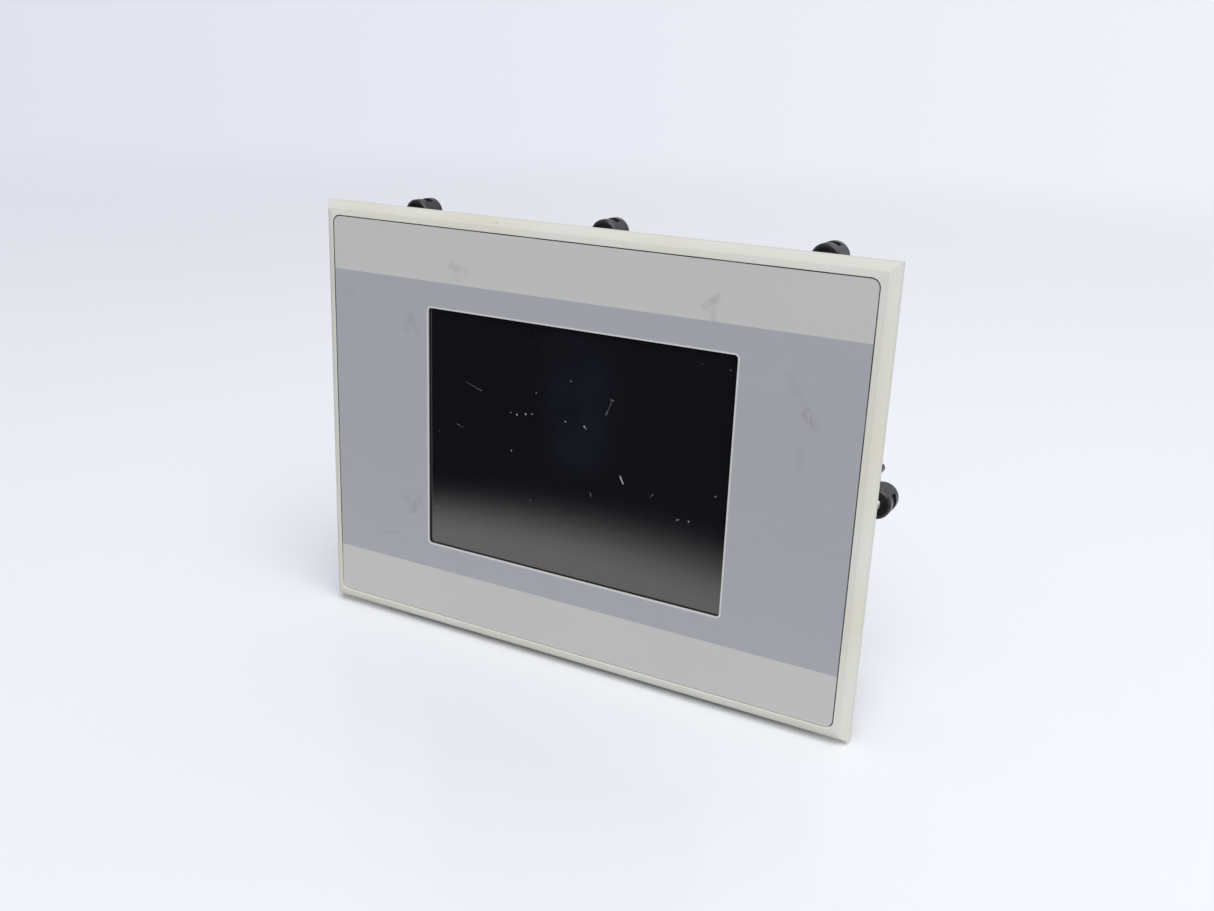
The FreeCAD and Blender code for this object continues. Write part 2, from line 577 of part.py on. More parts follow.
def make_port(name, x):
    """A nine-way D-shaped socket that faces down, with its flange inside the cover."""
    middle_y = port_middle_y()
    inside_z = f"{COVER_BOTTOM} + cover_sheet"
    shell_front = f"{inside_z} - port_shell_length"
    flange = box(name + "_flange", span(x, "port_flange_width"), span(middle_y, "port_flange_height"),
                 (inside_z, f"{inside_z} + port_flange_sheet"))
    body = box(name + "_body", span(x, "port_body_width"),
               (BOARD_BACK, f"{middle_y} + port_shell_height / 2"),
               (inside_z, f"{inside_z} + port_body_length"))
    shell = doc.addObject("Part::Wedge", name + "_wedge")
    low, high = span(x, "port_shell_width")
    for prop, text in {"Xmin": low, "Xmax": high, "X2min": f"{low} + port_shell_slope",
                       "X2max": f"{high} - port_shell_slope", "Ymin": "0", "Ymax": "port_shell_height",
                       "Zmin": "0", "Zmax": "port_shell_length", "Z2min": "0",
                       "Z2max": "port_shell_length"}.items():
        bind(shell, prop, text)
    bind(shell, "Placement.Base.y", f"{middle_y} - port_shell_height / 2")
    bind(shell, "Placement.Base.z", shell_front)
    doc.recompute()
    rounded = doc.addObject("Part::Fillet", name + "_shell")
    rounded.Base = shell
    upright = [index for index, edge in enumerate(shell.Shape.Edges, 1)
               if edge.BoundBox.ZLength > number("port_shell_length") - 1e-3]
    radius = number("port_shell_radius")
    rounded.Edges = [(index, radius, radius) for index in upright]
    holes = []
    for row, count in ((-1, 5), (1, 4)):
        for index in range(count):
            place = f"{x} + {index - (count - 1) / 2} * contact_pitch"
            holes.append(rod(f"{name}_contact_{row + 1}_{index}", "contact_radius", place,
                             f"{middle_y} + {row} * contact_row",
                             (shell_front, f"{shell_front} + contact_depth")))
    for side, sign in (("left", "-"), ("right", "+")):
        holes.append(rod(f"{name}_{side}_eye", "jack_shank_radius + jack_eye_gap",
                         f"{x} {sign} jack_screw_pitch / 2", middle_y,
                         (inside_z, f"{inside_z} + port_flange_sheet")))
    node(cut(name + "_cut", fuse(name + "_blank", [flange, body, rounded]), holes), name)


def make_jack_screws():
    screws = []
    for port, x in (("serial", "serial_x"), ("fieldbus", "fieldbus_x")):
        for side, sign in (("left", "-"), ("right", "+")):
            name = f"{port}_{side}_jack"
            place = f"{x} {sign} jack_screw_pitch / 2"
            low = f"{COVER_BOTTOM} - jack_screw_height"
            head = hexagon(name + "_head", "jack_screw_radius", place, port_middle_y(), (low, COVER_BOTTOM))
            shank = rod(name + "_shank", "jack_shank_radius", place, port_middle_y(),
                        (COVER_BOTTOM, f"{COVER_BOTTOM} + jack_shank_length"))
            thread = rod(name + "_thread", "jack_thread_radius", place, port_middle_y(),
                         (low, f"{low} + contact_depth"))
            screws.append(cut(name, fuse(name + "_blank", [head, shank]), [thread]))
    node(group("jacks", screws), "jack_screws")


def make_network_port():
    front = f"{COVER_BOTTOM} - port_proud"
    blank = box("network_blank", span("network_x", "network_width"),
                (BOARD_BACK, f"{BOARD_BACK} + network_height"), (front, f"{front} + network_length"))
    mouth_y = (f"{BOARD_BACK} + mouth_wall", f"{BOARD_BACK} + mouth_wall + mouth_height")
    mouth = box("network_mouth", span("network_x", "mouth_width"), mouth_y, (front, f"{front} + mouth_depth"))
    latch = box("network_latch", span("network_x", "latch_width"),
                (mouth_y[1], f"{mouth_y[1]} + latch_depth"), (front, f"{front} + mouth_depth"))
    node(cut("network", blank, [mouth, latch]), "ethernet_port")


def make_power():
    front = f"{COVER_BOTTOM} - port_proud"
    header_y = (BOARD_BACK, f"{BOARD_BACK} + header_height")
    cavity_width = "header_width - 2 * header_wall"
    cavity_y = (f"{BOARD_BACK} + header_wall", f"{header_y[1]} - header_wall")
    cavity_top = f"{front} + header_length - header_floor"
    header_z = (front, f"{front} + header_length")
    blank = box("header_blank", span("power_x", "header_width"), header_y, header_z)
    cavity = box("header_cavity", span("power_x", cavity_width), cavity_y, (front, cavity_top))
    middle_y = f"{BOARD_BACK} + header_height / 2"
    places = [f"power_x + {index} * pin_pitch" for index in (-1, 0, 1)]
    pins = [box(f"header_pin_{index}", span(place, "pin_side"), span(middle_y, "pin_side"),
                (f"{cavity_top} - pin_length", f"{cavity_top} + pin_root"))
            for index, place in enumerate(places)]
    node(fuse("header", [cut("header_shell", blank, [cavity])] + pins), "power_header")

    grip_top = f"{front} - plug_gap"
    grip_low = f"{grip_top} - plug_grip_length"
    core = box("plug_core", span("power_x", f"{cavity_width} - 2 * plug_gap"),
               (f"{cavity_y[0]} + plug_gap", f"{cavity_y[1]} - plug_gap"),
               (grip_top, f"{cavity_top} - plug_gap"))
    grip = box("plug_grip", span("power_x", "plug_grip_width"), span(middle_y, "plug_grip_height"),
               (grip_low, grip_top))
    back_y = f"{middle_y} + plug_grip_height / 2"
    screw_z = f"{grip_low} + plug_grip_length / 2"
    screw_back = f"{back_y} - plug_screw_sink"
    screw_y = (f"{screw_back} - plug_screw_height", screw_back)
    tools = []
    for index, place in enumerate(places):
        tools.append(box(f"plug_pin_hole_{index}", span(place, "pin_side + 2 * plug_gap"),
                         span(middle_y, "pin_side + 2 * plug_gap"),
                         (f"{cavity_top} - pin_length - plug_hole_margin", cavity_top)))
        tools.append(box(f"wire_entry_{index}", span(place, "wire_entry"), span(middle_y, "wire_entry"),
                         (grip_low, f"{grip_low} + wire_entry_depth")))
        well_y = (screw_y[0], back_y)
        tools.append(rod(f"plug_screw_well_{index}", "plug_screw_radius", place, well_y, screw_z))
    shell = cut("plug_shell", fuse("plug_blank", [core, grip]), tools)
    heads = []
    for index, place in enumerate(places):
        head = rod(f"plug_screw_{index}", "plug_screw_radius", place, screw_y, screw_z)
        slot = box(f"plug_slot_{index}", span(place, "2 * plug_screw_radius"),
                   (f"{screw_back} - plug_slot_depth", screw_back), span(screw_z, "plug_slot_breadth"))
        heads.append(cut(f"plug_head_{index}", head, [slot]))
    node(fuse("plug", [shell] + heads), "power_plug")


# ---- left wall: card, usb, reset ----

def make_card_slot():
    inside_x = f"{COVER_LEFT} + cover_sheet"
    cage_x = (f"{inside_x} + cage_gap", f"{inside_x} + cage_gap + cage_length")
    middle_y = f"{BOARD_BACK} + cage_height / 2"
    cage_y = (BOARD_BACK, f"{BOARD_BACK} + cage_height")
    blank = box("cage_blank", cage_x, cage_y, ("cage_low_z", "cage_high_z"))
    card_left = f"{COVER_LEFT} - card_proud"
    card_right = f"{card_left} + card_length"
    slot = box("cage_slot", (cage_x[0], f"{card_right} + card_gap"),
               span(middle_y, "card_thickness + 2 * card_gap"), span("card_z", "card_width + 2 * card_gap"))
    eject_hole = box("cage_eject_hole", cage_x, span(middle_y, "eject_side + 2 * eject_gap"),
                     span("eject_z", "eject_side + 2 * eject_gap"))
    node(cut("cage", blank, [slot, eject_hole]), "card_cage")

    card = box("card_blank", (card_left, card_right), span(middle_y, "card_thickness"),
               span("card_z", "card_width"))
    card_back = f"{middle_y} + card_thickness / 2"
    grip = box("card_grip", (card_left, f"{card_left} + card_grip_length"),
               (f"{card_back} - card_grip_depth", card_back), span("card_z", "card_grip_width"))
    node(cut("card", card, [grip]), "memory_card")

    cap_left = f"{COVER_LEFT} - eject_travel - eject_cap_length - button_gap"
    stem = box("eject_stem", (cap_left, f"{cage_x[1]} - eject_travel - button_gap"),
               span(middle_y, "eject_side"), span("eject_z", "eject_side"))
    cap = box("eject_cap", (cap_left, f"{cap_left} + eject_cap_length"), span(middle_y, "eject_cap_side"),
              span("eject_z", "eject_cap_side"))
    node(fuse("eject", [stem, cap]), "eject_button")


def make_usb_port():
    front_x = f"{COVER_LEFT} + usb_inset"
    high_y = f"{BOARD_BACK} + usb_height"
    blank = box("usb_blank", (front_x, f"{front_x} + usb_length"), (BOARD_BACK, high_y),
                span("usb_z", "usb_width"))
    mouth = box("usb_mouth", (front_x, f"{front_x} + usb_depth"),
                (f"{BOARD_BACK} + usb_floor", f"{high_y} - usb_wall"),
                span("usb_z", "usb_width - 2 * usb_wall"))
    tongue_back = f"{high_y} - usb_tongue_gap"
    tongue = box("usb_tongue", (f"{front_x} + usb_tongue_inset", f"{front_x} + usb_depth + usb_tongue_root"),
                 (f"{tongue_back} - usb_tongue", tongue_back), span("usb_z", "usb_tongue_width"))
    node(fuse("usb", [cut("usb_shell", blank, [mouth]), tongue]), "usb_port")


def make_reset_button():
    middle_y = f"{BOARD_BACK} + reset_rise"
    outer_x = f"{COVER_LEFT} - button_gap - reset_travel"
    inner_x = "board_tab_x + switch_inset - reset_travel - reset_collar_gap"
    stem = rod("reset_stem", "reset_radius", (outer_x, inner_x), middle_y, "reset_z")
    collar_left = f"{COVER_LEFT} + cover_sheet + reset_collar_gap"
    collar = rod("reset_collar", "reset_collar_radius", (collar_left, f"{collar_left} + reset_collar_length"),
                 middle_y, "reset_z")
    node(fuse("reset", [stem, collar]), "reset_button")


# ---- rear cover ----

def keyhole(name, rotation, x, z):
    """The slot in the wall where a clamp hooks in, wider at its rear end."""
    half_neck = "(neck_width / 2 + keyhole_gap)"
    half_hook = "(hook_width / 2 + keyhole_gap)"
    start = "clamp_front_y + neck_start - keyhole_gap"
    end = "clamp_front_y + neck_start + neck_length + clamp_travel + keyhole_gap"
    depth = ("-keyhole_depth", "0")
    narrow = box(name + "_narrow", (f"-{half_neck}", half_neck), (start, end), depth)
    wide = box(name + "_wide", (f"-{half_hook}", half_hook), (f"{end} - neck_length - 2 * keyhole_gap", end),
               depth)
    slot = fuse(name, [narrow, wide])
    slot.Placement = Placement(Vector(), rotation)
    bind(slot, "Placement.Base.x", x)
    bind(slot, "Placement.Base.z", z)
    return slot


def cutout(name, x, width, y, depth, gap, z, height=""):
    """A rectangular opening about a connector; x or z is a pair of places where it goes through a wall."""
    across = span(x, f"{width} + 2 * {gap}") if width else x
    up = span(z, f"{height} + 2 * {gap}") if height else z
    return box(name + "_cutout", across, span(y, f"{depth} + 2 * {gap}"), up)


def make_cover():
    """The stepped rear cover: its screws stand on the two shelves beside the narrower rear part."""
    body = doc.addObject("PartDesign::Body", "cover_body")
    parts = (("front", "cover_width", "cover_front_y", "cover_step_y"),
             ("rear", "cover_rear_width", "cover_step_y", "cover_back_y"))
    for end, width, front, back in parts:
        outside = (width, "cover_height", "cover_radius")
        grow(body, f"cover_{end}_block", front, f"{back} - {front}", [outside])
    for end, width, front, back in parts:
        inside = (f"{width} - 2 * cover_sheet", "cover_height - 2 * cover_sheet",
                  "cover_radius - cover_sheet")
        sink(body, f"cover_{end}_hollow", "cover_front_y", f"{back} - cover_sheet - cover_front_y", [inside])
    sink(body, "post_holes", "cover_step_y", "2 * cover_sheet", [], True,
         "screw_radius + screw_clearance", corners("post_x", "post_z"))
    sink(body, "earth_hole", "cover_back_y", "2 * cover_sheet", [], True,
         "earth_neck_radius + screw_clearance", [("earth_x", "earth_z")])

    bottom = (f"{COVER_BOTTOM} - cover_sheet", f"{COVER_BOTTOM} + 2 * cover_sheet")
    top = ("cover_height / 2 - 2 * cover_sheet", "cover_height / 2 + cover_sheet")
    left = (f"{COVER_LEFT} - cover_sheet", f"{COVER_LEFT} + 2 * cover_sheet")
    middle_y = port_middle_y()
    tools = [keyhole(f"keyhole_{name}", rotation, x, z) for name, rotation, x, z in clamp_places()]
    for port, x in (("serial", "serial_x"), ("fieldbus", "fieldbus_x")):
        tools.append(cutout(port, x, "port_shell_width", middle_y, "port_shell_height", "cutout_gap", bottom))
        for side, sign in (("left", "-"), ("right", "+")):
            tools.append(rod(f"{port}_{side}_hole", "jack_shank_radius + jack_eye_gap",
                             f"{x} {sign} jack_screw_pitch / 2", middle_y, bottom))
    tools.append(cutout("network", "network_x", "network_width", f"{BOARD_BACK} + network_height / 2",
                        "network_height", "cutout_gap", bottom))
    tools.append(cutout("power", "power_x", "header_width", f"{BOARD_BACK} + header_height / 2",
                        "header_height", "cutout_gap", bottom))
    cage_y = f"{BOARD_BACK} + cage_height / 2"
    tools.append(cutout("card", left, "", cage_y, "card_thickness", "card_cutout_gap",
                        "card_z", "card_width"))
    tools.append(cutout("eject", left, "", cage_y, "eject_side", "eject_cutout_gap",
                        "eject_z", "eject_side"))
    tools.append(cutout("usb", left, "", f"{BOARD_BACK} + usb_height / 2", "usb_height", "usb_cutout_gap",
                        "usb_z", "usb_width"))
    tools.append(rod("reset_cutout", "reset_radius + reset_gap", left,
                     f"{BOARD_BACK} + reset_rise", "reset_z"))
    vent_y = ("vent_front_y", "vent_front_y + vent_length")
    for index in range(int(number("vent_count"))):
        place = span(f"({index} - (vent_count - 1) / 2) * vent_pitch", "vent_breadth")
        tools.append(box(f"top_vent_{index}", place, vent_y, top))
        tools.append(box(f"bottom_vent_{index}", place, vent_y, bottom))
    node(cut("cover", body, tools), "rear_cover")

    rating = ("plate_width", "plate_height", "plate_radius", "0", "plate_z")
    plate("rating_plate", "cover_back_y", "plate_thickness", [rating])
    node(make_earth_stud(), "earth_stud")
    nut = hexagon("earth_nut_blank", "earth_nut_radius", "earth_x",
                  ("cover_back_y", "cover_back_y + earth_nut_height"), "earth_z")
    hole = rod("earth_nut_hole", "earth_neck_radius + earth_nut_gap", "earth_x",
               ("cover_back_y", "cover_back_y + earth_nut_height"), "earth_z")
    node(cut("earth_nut_cut", nut, [hole]), "earth_nut")


def make_earth_stud():
    """A stud with its head inside the cover, a thinner neck under the nut and a chamfered free end."""
    end = "cover_back_y + earth_length"
    neck_end = "cover_back_y + earth_nut_height + earth_neck_length"
    head = rod("stud_head", "2 * earth_radius", "earth_x",
               (f"{COVER_INSIDE} - earth_head_height", COVER_INSIDE), "earth_z")
    neck = rod("stud_neck", "earth_neck_radius", "earth_x", (COVER_INSIDE, neck_end), "earth_z")
    shank = rod("stud_thread", "earth_radius", "earth_x", (neck_end, f"{end} - tip_chamfer"), "earth_z")
    tip = cone("stud_tip", "earth_radius", "earth_radius - tip_chamfer", "earth_x",
               (f"{end} - tip_chamfer", end), "earth_z")
    return fuse("stud", [head, neck, shank, tip])


# ---- panel clamps ----

def clamp_places():
    """Name, turn about the depth and place of each clamp, clockwise from the top left."""
    side_x = "bezel_width / 2 - clamp_inset"
    end_z = "bezel_height / 2 - clamp_inset"
    places = []
    for name, step in (("left", "-clamp_pitch"), ("middle", "0"), ("right", "clamp_pitch")):
        places.append((f"top_{name}", Rotation(Vector(0, 1, 0), 0), f"{step} + clamp_shift", end_z))
        places.append((f"bottom_{name}", Rotation(Vector(0, 1, 0), 180), f"{step} - clamp_shift",
                       f"-({end_z})"))
    places.append(("side_right", Rotation(Vector(0, 1, 0), 90), side_x, "-clamp_shift"))
    places.append(("side_left", Rotation(Vector(0, 1, 0), 270), f"-({side_x})", "clamp_shift"))
    return places


def put(piece, name, rotation, x, z):
    """Turns and moves a piece that was built about the screw's axis."""
    piece.Placement = Placement(Vector(), rotation)
    bind(piece, "Placement.Base.x", x)
    bind(piece, "Placement.Base.z", z)
    node(piece, name)


def make_clamp(name, rotation, x, z):
    """One clamp about its screw's axis: +X is along the panel's edge and +Z points outwards."""
    prefix = "clamp_" + name
    front = "clamp_front_y"
    back = "clamp_front_y + clamp_length"
    foot = "clamp_gap - (bezel_height - cover_height) / 2 + clamp_inset"
    hook_top = f"{foot} - 2 * clamp_gap - cover_sheet"
    rim = "clamp_radius - clamp_chamfer"
    lobe_low = f"{front} + clamp_chamfer"
    lobe_high = f"{back} - clamp_chamfer"
    round_boss = fuse(prefix + "_round_boss", [
        cone(prefix + "_front_rim", rim, "clamp_radius", "0", (front, lobe_low), "0"),
        rod(prefix + "_boss", "clamp_radius", "0", (lobe_low, lobe_high), "0"),
        cone(prefix + "_back_rim", "clamp_radius", rim, "0", (lobe_high, back), "0")])
    below_foot = box(prefix + "_below_foot", mirrored("2 * clamp_radius"), (front, back),
                     ("-clamp_radius", foot))
    solids = [
        cut(prefix + "_flat_boss", round_boss, [below_foot]),
        rod(prefix + "_lobe", "lobe_radius", "-lobe_offset", (lobe_low, lobe_high), "-lobe_drop"),
        box(prefix + "_web", ("-lobe_offset", "0"), (lobe_low, lobe_high),
            ("-lobe_drop - lobe_radius", "-lobe_drop + lobe_radius - web_relief")),
        box(prefix + "_foot", ("-lobe_offset - lobe_radius", "clamp_radius"), (lobe_low, lobe_high),
            (foot, f"{foot} + foot_thickness")),
        box(prefix + "_neck", mirrored("neck_width"),
            (f"{front} + neck_start", f"{front} + neck_start + neck_length"),
            (hook_top, foot)),
        box(prefix + "_hook", mirrored("hook_width"),
            (f"{front} + neck_start", f"{front} + neck_start + neck_length"),
            (f"{hook_top} - hook_thickness", hook_top))]
    nut_front = f"{front} + nut_start"
    notch = (nut_front, f"{nut_front} + nut_notch_height")
    bore = rod(prefix + "_bore", "screw_radius + set_screw_gap", "0", (front, back), "0")
    dish = rod(prefix + "_dish", "clamp_dish_radius", "0", (front, f"{front} + clamp_dish_depth"), "0")
    pocket = box(prefix + "_notch", mirrored("nut_notch"), notch, ("-nut_notch / 2", "clamp_radius"))
    put(cut(prefix + "_shape", fuse(prefix + "_blank", solids), [bore, dish, pocket]),
        prefix + "_body", rotation, x, z)

    nut_y = (f"{notch[1]} - nut_height", notch[1])
    nut = box(prefix + "_nut_blank", mirrored("nut_side"), nut_y, mirrored("nut_side"))
    nut_hole = rod(prefix + "_nut_hole", "screw_radius + set_screw_gap", "0", nut_y, "0")
    put(cut(prefix + "_nut_shape", nut, [nut_hole]), prefix + "_nut", rotation, x, z)

    tip = "set_screw_tip_y"
    end = "set_screw_tip_y + set_screw_length"
    shank = rod(prefix + "_shank", "screw_radius", "0", (f"{tip} + tip_chamfer", end), "0")
    point = cone(prefix + "_point", "screw_radius - tip_chamfer", "screw_radius", "0",
                 (tip, f"{tip} + tip_chamfer"), "0")
    socket = hexagon(prefix + "_socket", "socket_radius", "0", (f"{end} - socket_depth", end), "0")
    put(cut(prefix + "_screw_shape", fuse(prefix + "_screw_blank", [shank, point]), [socket]),
        prefix + "_screw", rotation, x, z)


# ---- build, check and write ----

def check():
    """Stops if any object failed or any sub-part is not a valid solid."""
    for one in doc.Objects:
        if "Invalid" in one.State or "Error" in one.State:
            raise RuntimeError(f"{one.Name} failed: {one.State}")
    for one in nodes:
        if one.Shape.isNull() or not one.Shape.isValid() or not one.Shape.Solids:
            raise RuntimeError(f"{one.Label} is not a valid solid")


make_front()
make_display()
make_structure()
make_board()
make_inverter()
make_port("serial_port", "serial_x")
make_port("fieldbus_port", "fieldbus_x")
make_jack_screws()
make_network_port()
make_power()
make_card_slot()
make_usb_port()
make_reset_button()
make_cover()
for place in clamp_places():
    make_clamp(*place)
doc.recompute()
check()
os.makedirs("parts", exist_ok=True)
for one in nodes:
    one.Shape.exportStep(f"parts/{one.Label}.step")
print(len(nodes), "sub-parts")
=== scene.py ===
import json
import math

import bmesh
import bpy
from mathutils import Matrix, Vector


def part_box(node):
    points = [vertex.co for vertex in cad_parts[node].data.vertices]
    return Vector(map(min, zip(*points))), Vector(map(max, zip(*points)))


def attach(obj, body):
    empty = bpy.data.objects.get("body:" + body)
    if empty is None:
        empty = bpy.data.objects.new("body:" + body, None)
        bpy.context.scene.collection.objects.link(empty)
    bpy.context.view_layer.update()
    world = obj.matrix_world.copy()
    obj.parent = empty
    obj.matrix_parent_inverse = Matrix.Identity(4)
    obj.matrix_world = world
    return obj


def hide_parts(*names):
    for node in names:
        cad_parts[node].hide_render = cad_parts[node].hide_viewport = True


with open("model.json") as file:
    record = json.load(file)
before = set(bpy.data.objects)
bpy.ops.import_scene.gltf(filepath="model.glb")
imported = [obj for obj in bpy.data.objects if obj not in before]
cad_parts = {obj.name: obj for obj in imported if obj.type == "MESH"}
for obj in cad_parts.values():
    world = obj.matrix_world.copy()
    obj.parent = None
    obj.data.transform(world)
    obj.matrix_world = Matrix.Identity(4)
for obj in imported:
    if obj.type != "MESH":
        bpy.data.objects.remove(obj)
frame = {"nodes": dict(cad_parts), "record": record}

MM = 0.001
MICRON = 0.000001
FULL_TURN = 2.0 * math.pi
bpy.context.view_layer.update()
NODES = frame["nodes"]


# ---- materials: one small graph of nodes each ----

# A Mix node has sockets for each type; these are the ones that a mix of colours or of values uses.
MIX_COLORS = (6, 7)
MIX_COLOR_RESULT = 2
MIX_VALUES = (2, 3)


class Finish:
    """A material of nodes around one Principled shader. Its coordinates are the piece's own, in metres."""

    def __init__(self, name, color, roughness=0.5, metallic=0.0, **inputs):
        self.material = bpy.data.materials.new(name)
        self.material.use_nodes = True
        self.tree = self.material.node_tree
        self.shader = self.tree.nodes["Principled BSDF"]
        self.place = self.add("ShaderNodeTexCoord").outputs["Object"]
        self.put("Base Color", color)
        self.put("Roughness", roughness)
        self.put("Metallic", metallic)
        for key, value in inputs.items():
            self.put(key.replace("_", " "), value)

    def add(self, kind, inputs=None, **settings):
        node = self.tree.nodes.new(kind)
        for key, value in settings.items():
            setattr(node, key, value)
        for key, value in (inputs or {}).items():
            self.feed(node.inputs[key], value)
        return node

    def feed(self, socket, value):
        if isinstance(value, bpy.types.NodeSocket):
            self.tree.links.new(value, socket)
        elif isinstance(value, tuple) and len(value) == 3 and socket.type == "RGBA":
            socket.default_value = (*value, 1.0)
        else:
            socket.default_value = value

    def put(self, name, value):
        self.feed(self.shader.inputs[name], value)

    def current(self, name):
        """What feeds an input of the shader now, to build on it."""
        socket = self.shader.inputs[name]
        if socket.links:
            return socket.links[0].from_socket
        return tuple(socket.default_value)[:3] if socket.type == "RGBA" else socket.default_value

    def math(self, operation, first, second=0.0, third=0.0):
        return self.add("ShaderNodeMath", {0: first, 1: second, 2: third}, operation=operation).outputs[0]

    def vector(self, operation, first, second=(0.0, 0.0, 0.0), output=0):
        return self.add("ShaderNodeVectorMath", {0: first, 1: second}, operation=operation).outputs[output]

    def scaled(self, value, low, high, new_low=0.0, new_high=1.0):
        """Maps low..high to new_low..new_high with a smooth step, held beyond its ends."""
        inputs = {"Value": value, 1: low, 2: high, 3: new_low, 4: new_high}
        return self.add("ShaderNodeMapRange", inputs, interpolation_type="SMOOTHSTEP").outputs[0]

    def mix(self, factor, first, second):
        node = self.add("ShaderNodeMix", data_type="RGBA")
        self.feed(node.inputs[0], factor)
        self.feed(node.inputs[MIX_COLORS[0]], first)
        self.feed(node.inputs[MIX_COLORS[1]], second)
        return node.outputs[MIX_COLOR_RESULT]

    def stretched(self, scale):
        return self.vector("MULTIPLY", self.place, scale)

    def noise(self, size, detail=3.0, roughness=0.55, vector=None, distortion=0.0, output=0):
        """Noise whose features are about size metres across."""
        inputs = {"Vector": vector or self.place, "Scale": 1.0 / size, "Detail": detail,
                  "Roughness": roughness, "Distortion": distortion}
        return self.add("ShaderNodeTexNoise", inputs).outputs[output]

    def cells(self, size, output="Distance"):
        """Cells about size metres across."""
        inputs = {"Vector": self.place, "Scale": 1.0 / size}
        return self.add("ShaderNodeTexVoronoi", inputs, feature="F1").outputs[output]

    def axes(self):
        return self.add("ShaderNodeSeparateXYZ", {0: self.place}).outputs

    def bump(self, height, depth):
        """Raises the surface by height times depth metres."""
        inputs = {"Height": height, "Distance": depth, "Strength": 1.0}
        last = self.shader.inputs["Normal"]
        if last.links:
            inputs["Normal"] = last.links[0].from_socket
        self.feed(last, self.add("ShaderNodeBump", inputs).outputs[0])

    def repaint(self, mask, color, roughness=None, metallic=None):
        """Another finish where the mask is 1."""
        self.put("Base Color", self.mix(mask, self.current("Base Color"), color))
        for name, value in (("Roughness", roughness), ("Metallic", metallic)):
            if value is not None:
                node = self.add("ShaderNodeMix", data_type="FLOAT")
                self.feed(node.inputs[0], mask)
                self.feed(node.inputs[MIX_VALUES[0]], self.current(name))
                self.feed(node.inputs[MIX_VALUES[1]], value)
                self.put(name, node.outputs[0])

    def distance(self, value, place=0.0):
        """How far a value is from a place on its axis."""
        return self.math("ABSOLUTE", self.math("SUBTRACT", value, place))

    def box_distance(self, half_x, half_z, radius=0.0, middle=(0.0, 0.0)):
        """Distance from a round-cornered rectangle in the front's plane, negative inside it."""
        x, _, z = self.axes()
        over_x = self.math("SUBTRACT", self.distance(x, middle[0]), half_x - radius)
        over_z = self.math("SUBTRACT", self.distance(z, middle[1]), half_z - radius)
        out_x = self.math("MAXIMUM", over_x, 0.0)
        out_z = self.math("MAXIMUM", over_z, 0.0)
        corner = self.math("SQRT", self.math("ADD", self.math("MULTIPLY", out_x, out_x),
                                             self.math("MULTIPLY", out_z, out_z)))
        inside = self.math("MINIMUM", self.math("MAXIMUM", over_x, over_z), 0.0)
        return self.math("SUBTRACT", self.math("ADD", corner, inside), radius)

    def within(self, x=None, y=None, z=None):
        """1 inside a box given by pairs of places in metres; an axis that is left out isn't limited."""
        mask = None
        for socket, limits in zip(self.axes(), (x, y, z)):
            if limits:
                middle = (limits[0] + limits[1]) / 2
                one = self.math("COMPARE", socket, middle, (limits[1] - limits[0]) / 2)
                mask = self.math("MULTIPLY", mask, one) if mask else one
        return mask

    def ragged_place(self, size, reach):
        """The place in the front's plane, shifted by up to about reach, so that marks aren't ruled lines."""
        shift = self.vector("SUBTRACT", self.noise(size, 2.0, output=1), (0.5, 0.5, 0.5))
        moved = self.vector("ADD", self.place, self.vector("MULTIPLY", shift, (reach, 0.0, reach)))
        return self.vector("MULTIPLY", moved, (1.0, 0.0, 1.0))

    def stroke(self, place, start, end, inner, outer):
        """1 within inner of the line between two places (x, z) in millimetres, fading to 0 at outer."""
        first = Vector((start[0], 0.0, start[1])) * MM
        line = Vector((end[0], 0.0, end[1])) * MM - first
        offset = self.vector("SUBTRACT", place, tuple(first))
        if line.length < 1e-9:
            nearest = (0.0, 0.0, 0.0)
        else:
            along = self.vector("DOT_PRODUCT", offset, tuple(line), 1)
            share = self.math("DIVIDE", along, line.length_squared)
            share = self.add("ShaderNodeClamp", {0: share}).outputs[0]
            nearest = self.add("ShaderNodeCombineXYZ", {axis: self.math("MULTIPLY", share, reach)
                                                        for axis, reach in enumerate(line)}).outputs[0]
        return self.scaled(self.vector("DISTANCE", offset, nearest, 1), inner, outer, 1.0, 0.0)

    def strongest(self, masks):
        total = masks[0]
        for mask in masks[1:]:
            total = self.math("MAXIMUM", total, mask)
        return total


def moulded(name, color, roughness=0.5, grain=0.6 * MM, depth=20 * MICRON, blotch=0.08):
    """Moulded plastic: fine spark-eroded grain and slight blotches in colour and gloss."""
    finish = Finish(name, color, roughness)
    broad = finish.noise(30 * MM, 4.0)
    dark = tuple(channel * (1.0 - blotch) for channel in color)
    finish.put("Base Color", finish.mix(finish.scaled(broad, 0.35, 0.65), dark, color))
    fine = finish.noise(grain, 2.0)
    finish.put("Roughness", finish.scaled(fine, 0.3, 0.7, roughness - 0.06, roughness + 0.06))
    finish.bump(fine, depth)
    return finish


def plated(name, color, roughness=0.32, grain=4 * MM, streak=1.0):
    """Plated metal: patchy gloss and fine rolling marks along one direction."""
    finish = Finish(name, color, roughness, 1.0)
    patches = finish.noise(grain, 4.0)
    lines = finish.noise(0.4 * MM, 2.0, vector=finish.stretched((1.0, streak, 1.0)))
    dull = tuple(channel * 0.82 for channel in color)
    finish.put("Base Color", finish.mix(finish.scaled(patches, 0.3, 0.7), dull, color))
    finish.put("Roughness", finish.scaled(patches, 0.3, 0.7, roughness + 0.12, roughness - 0.06))
    finish.bump(lines, 8 * MICRON)
    return finish


# ---- front: bezel, label, touch surface ----

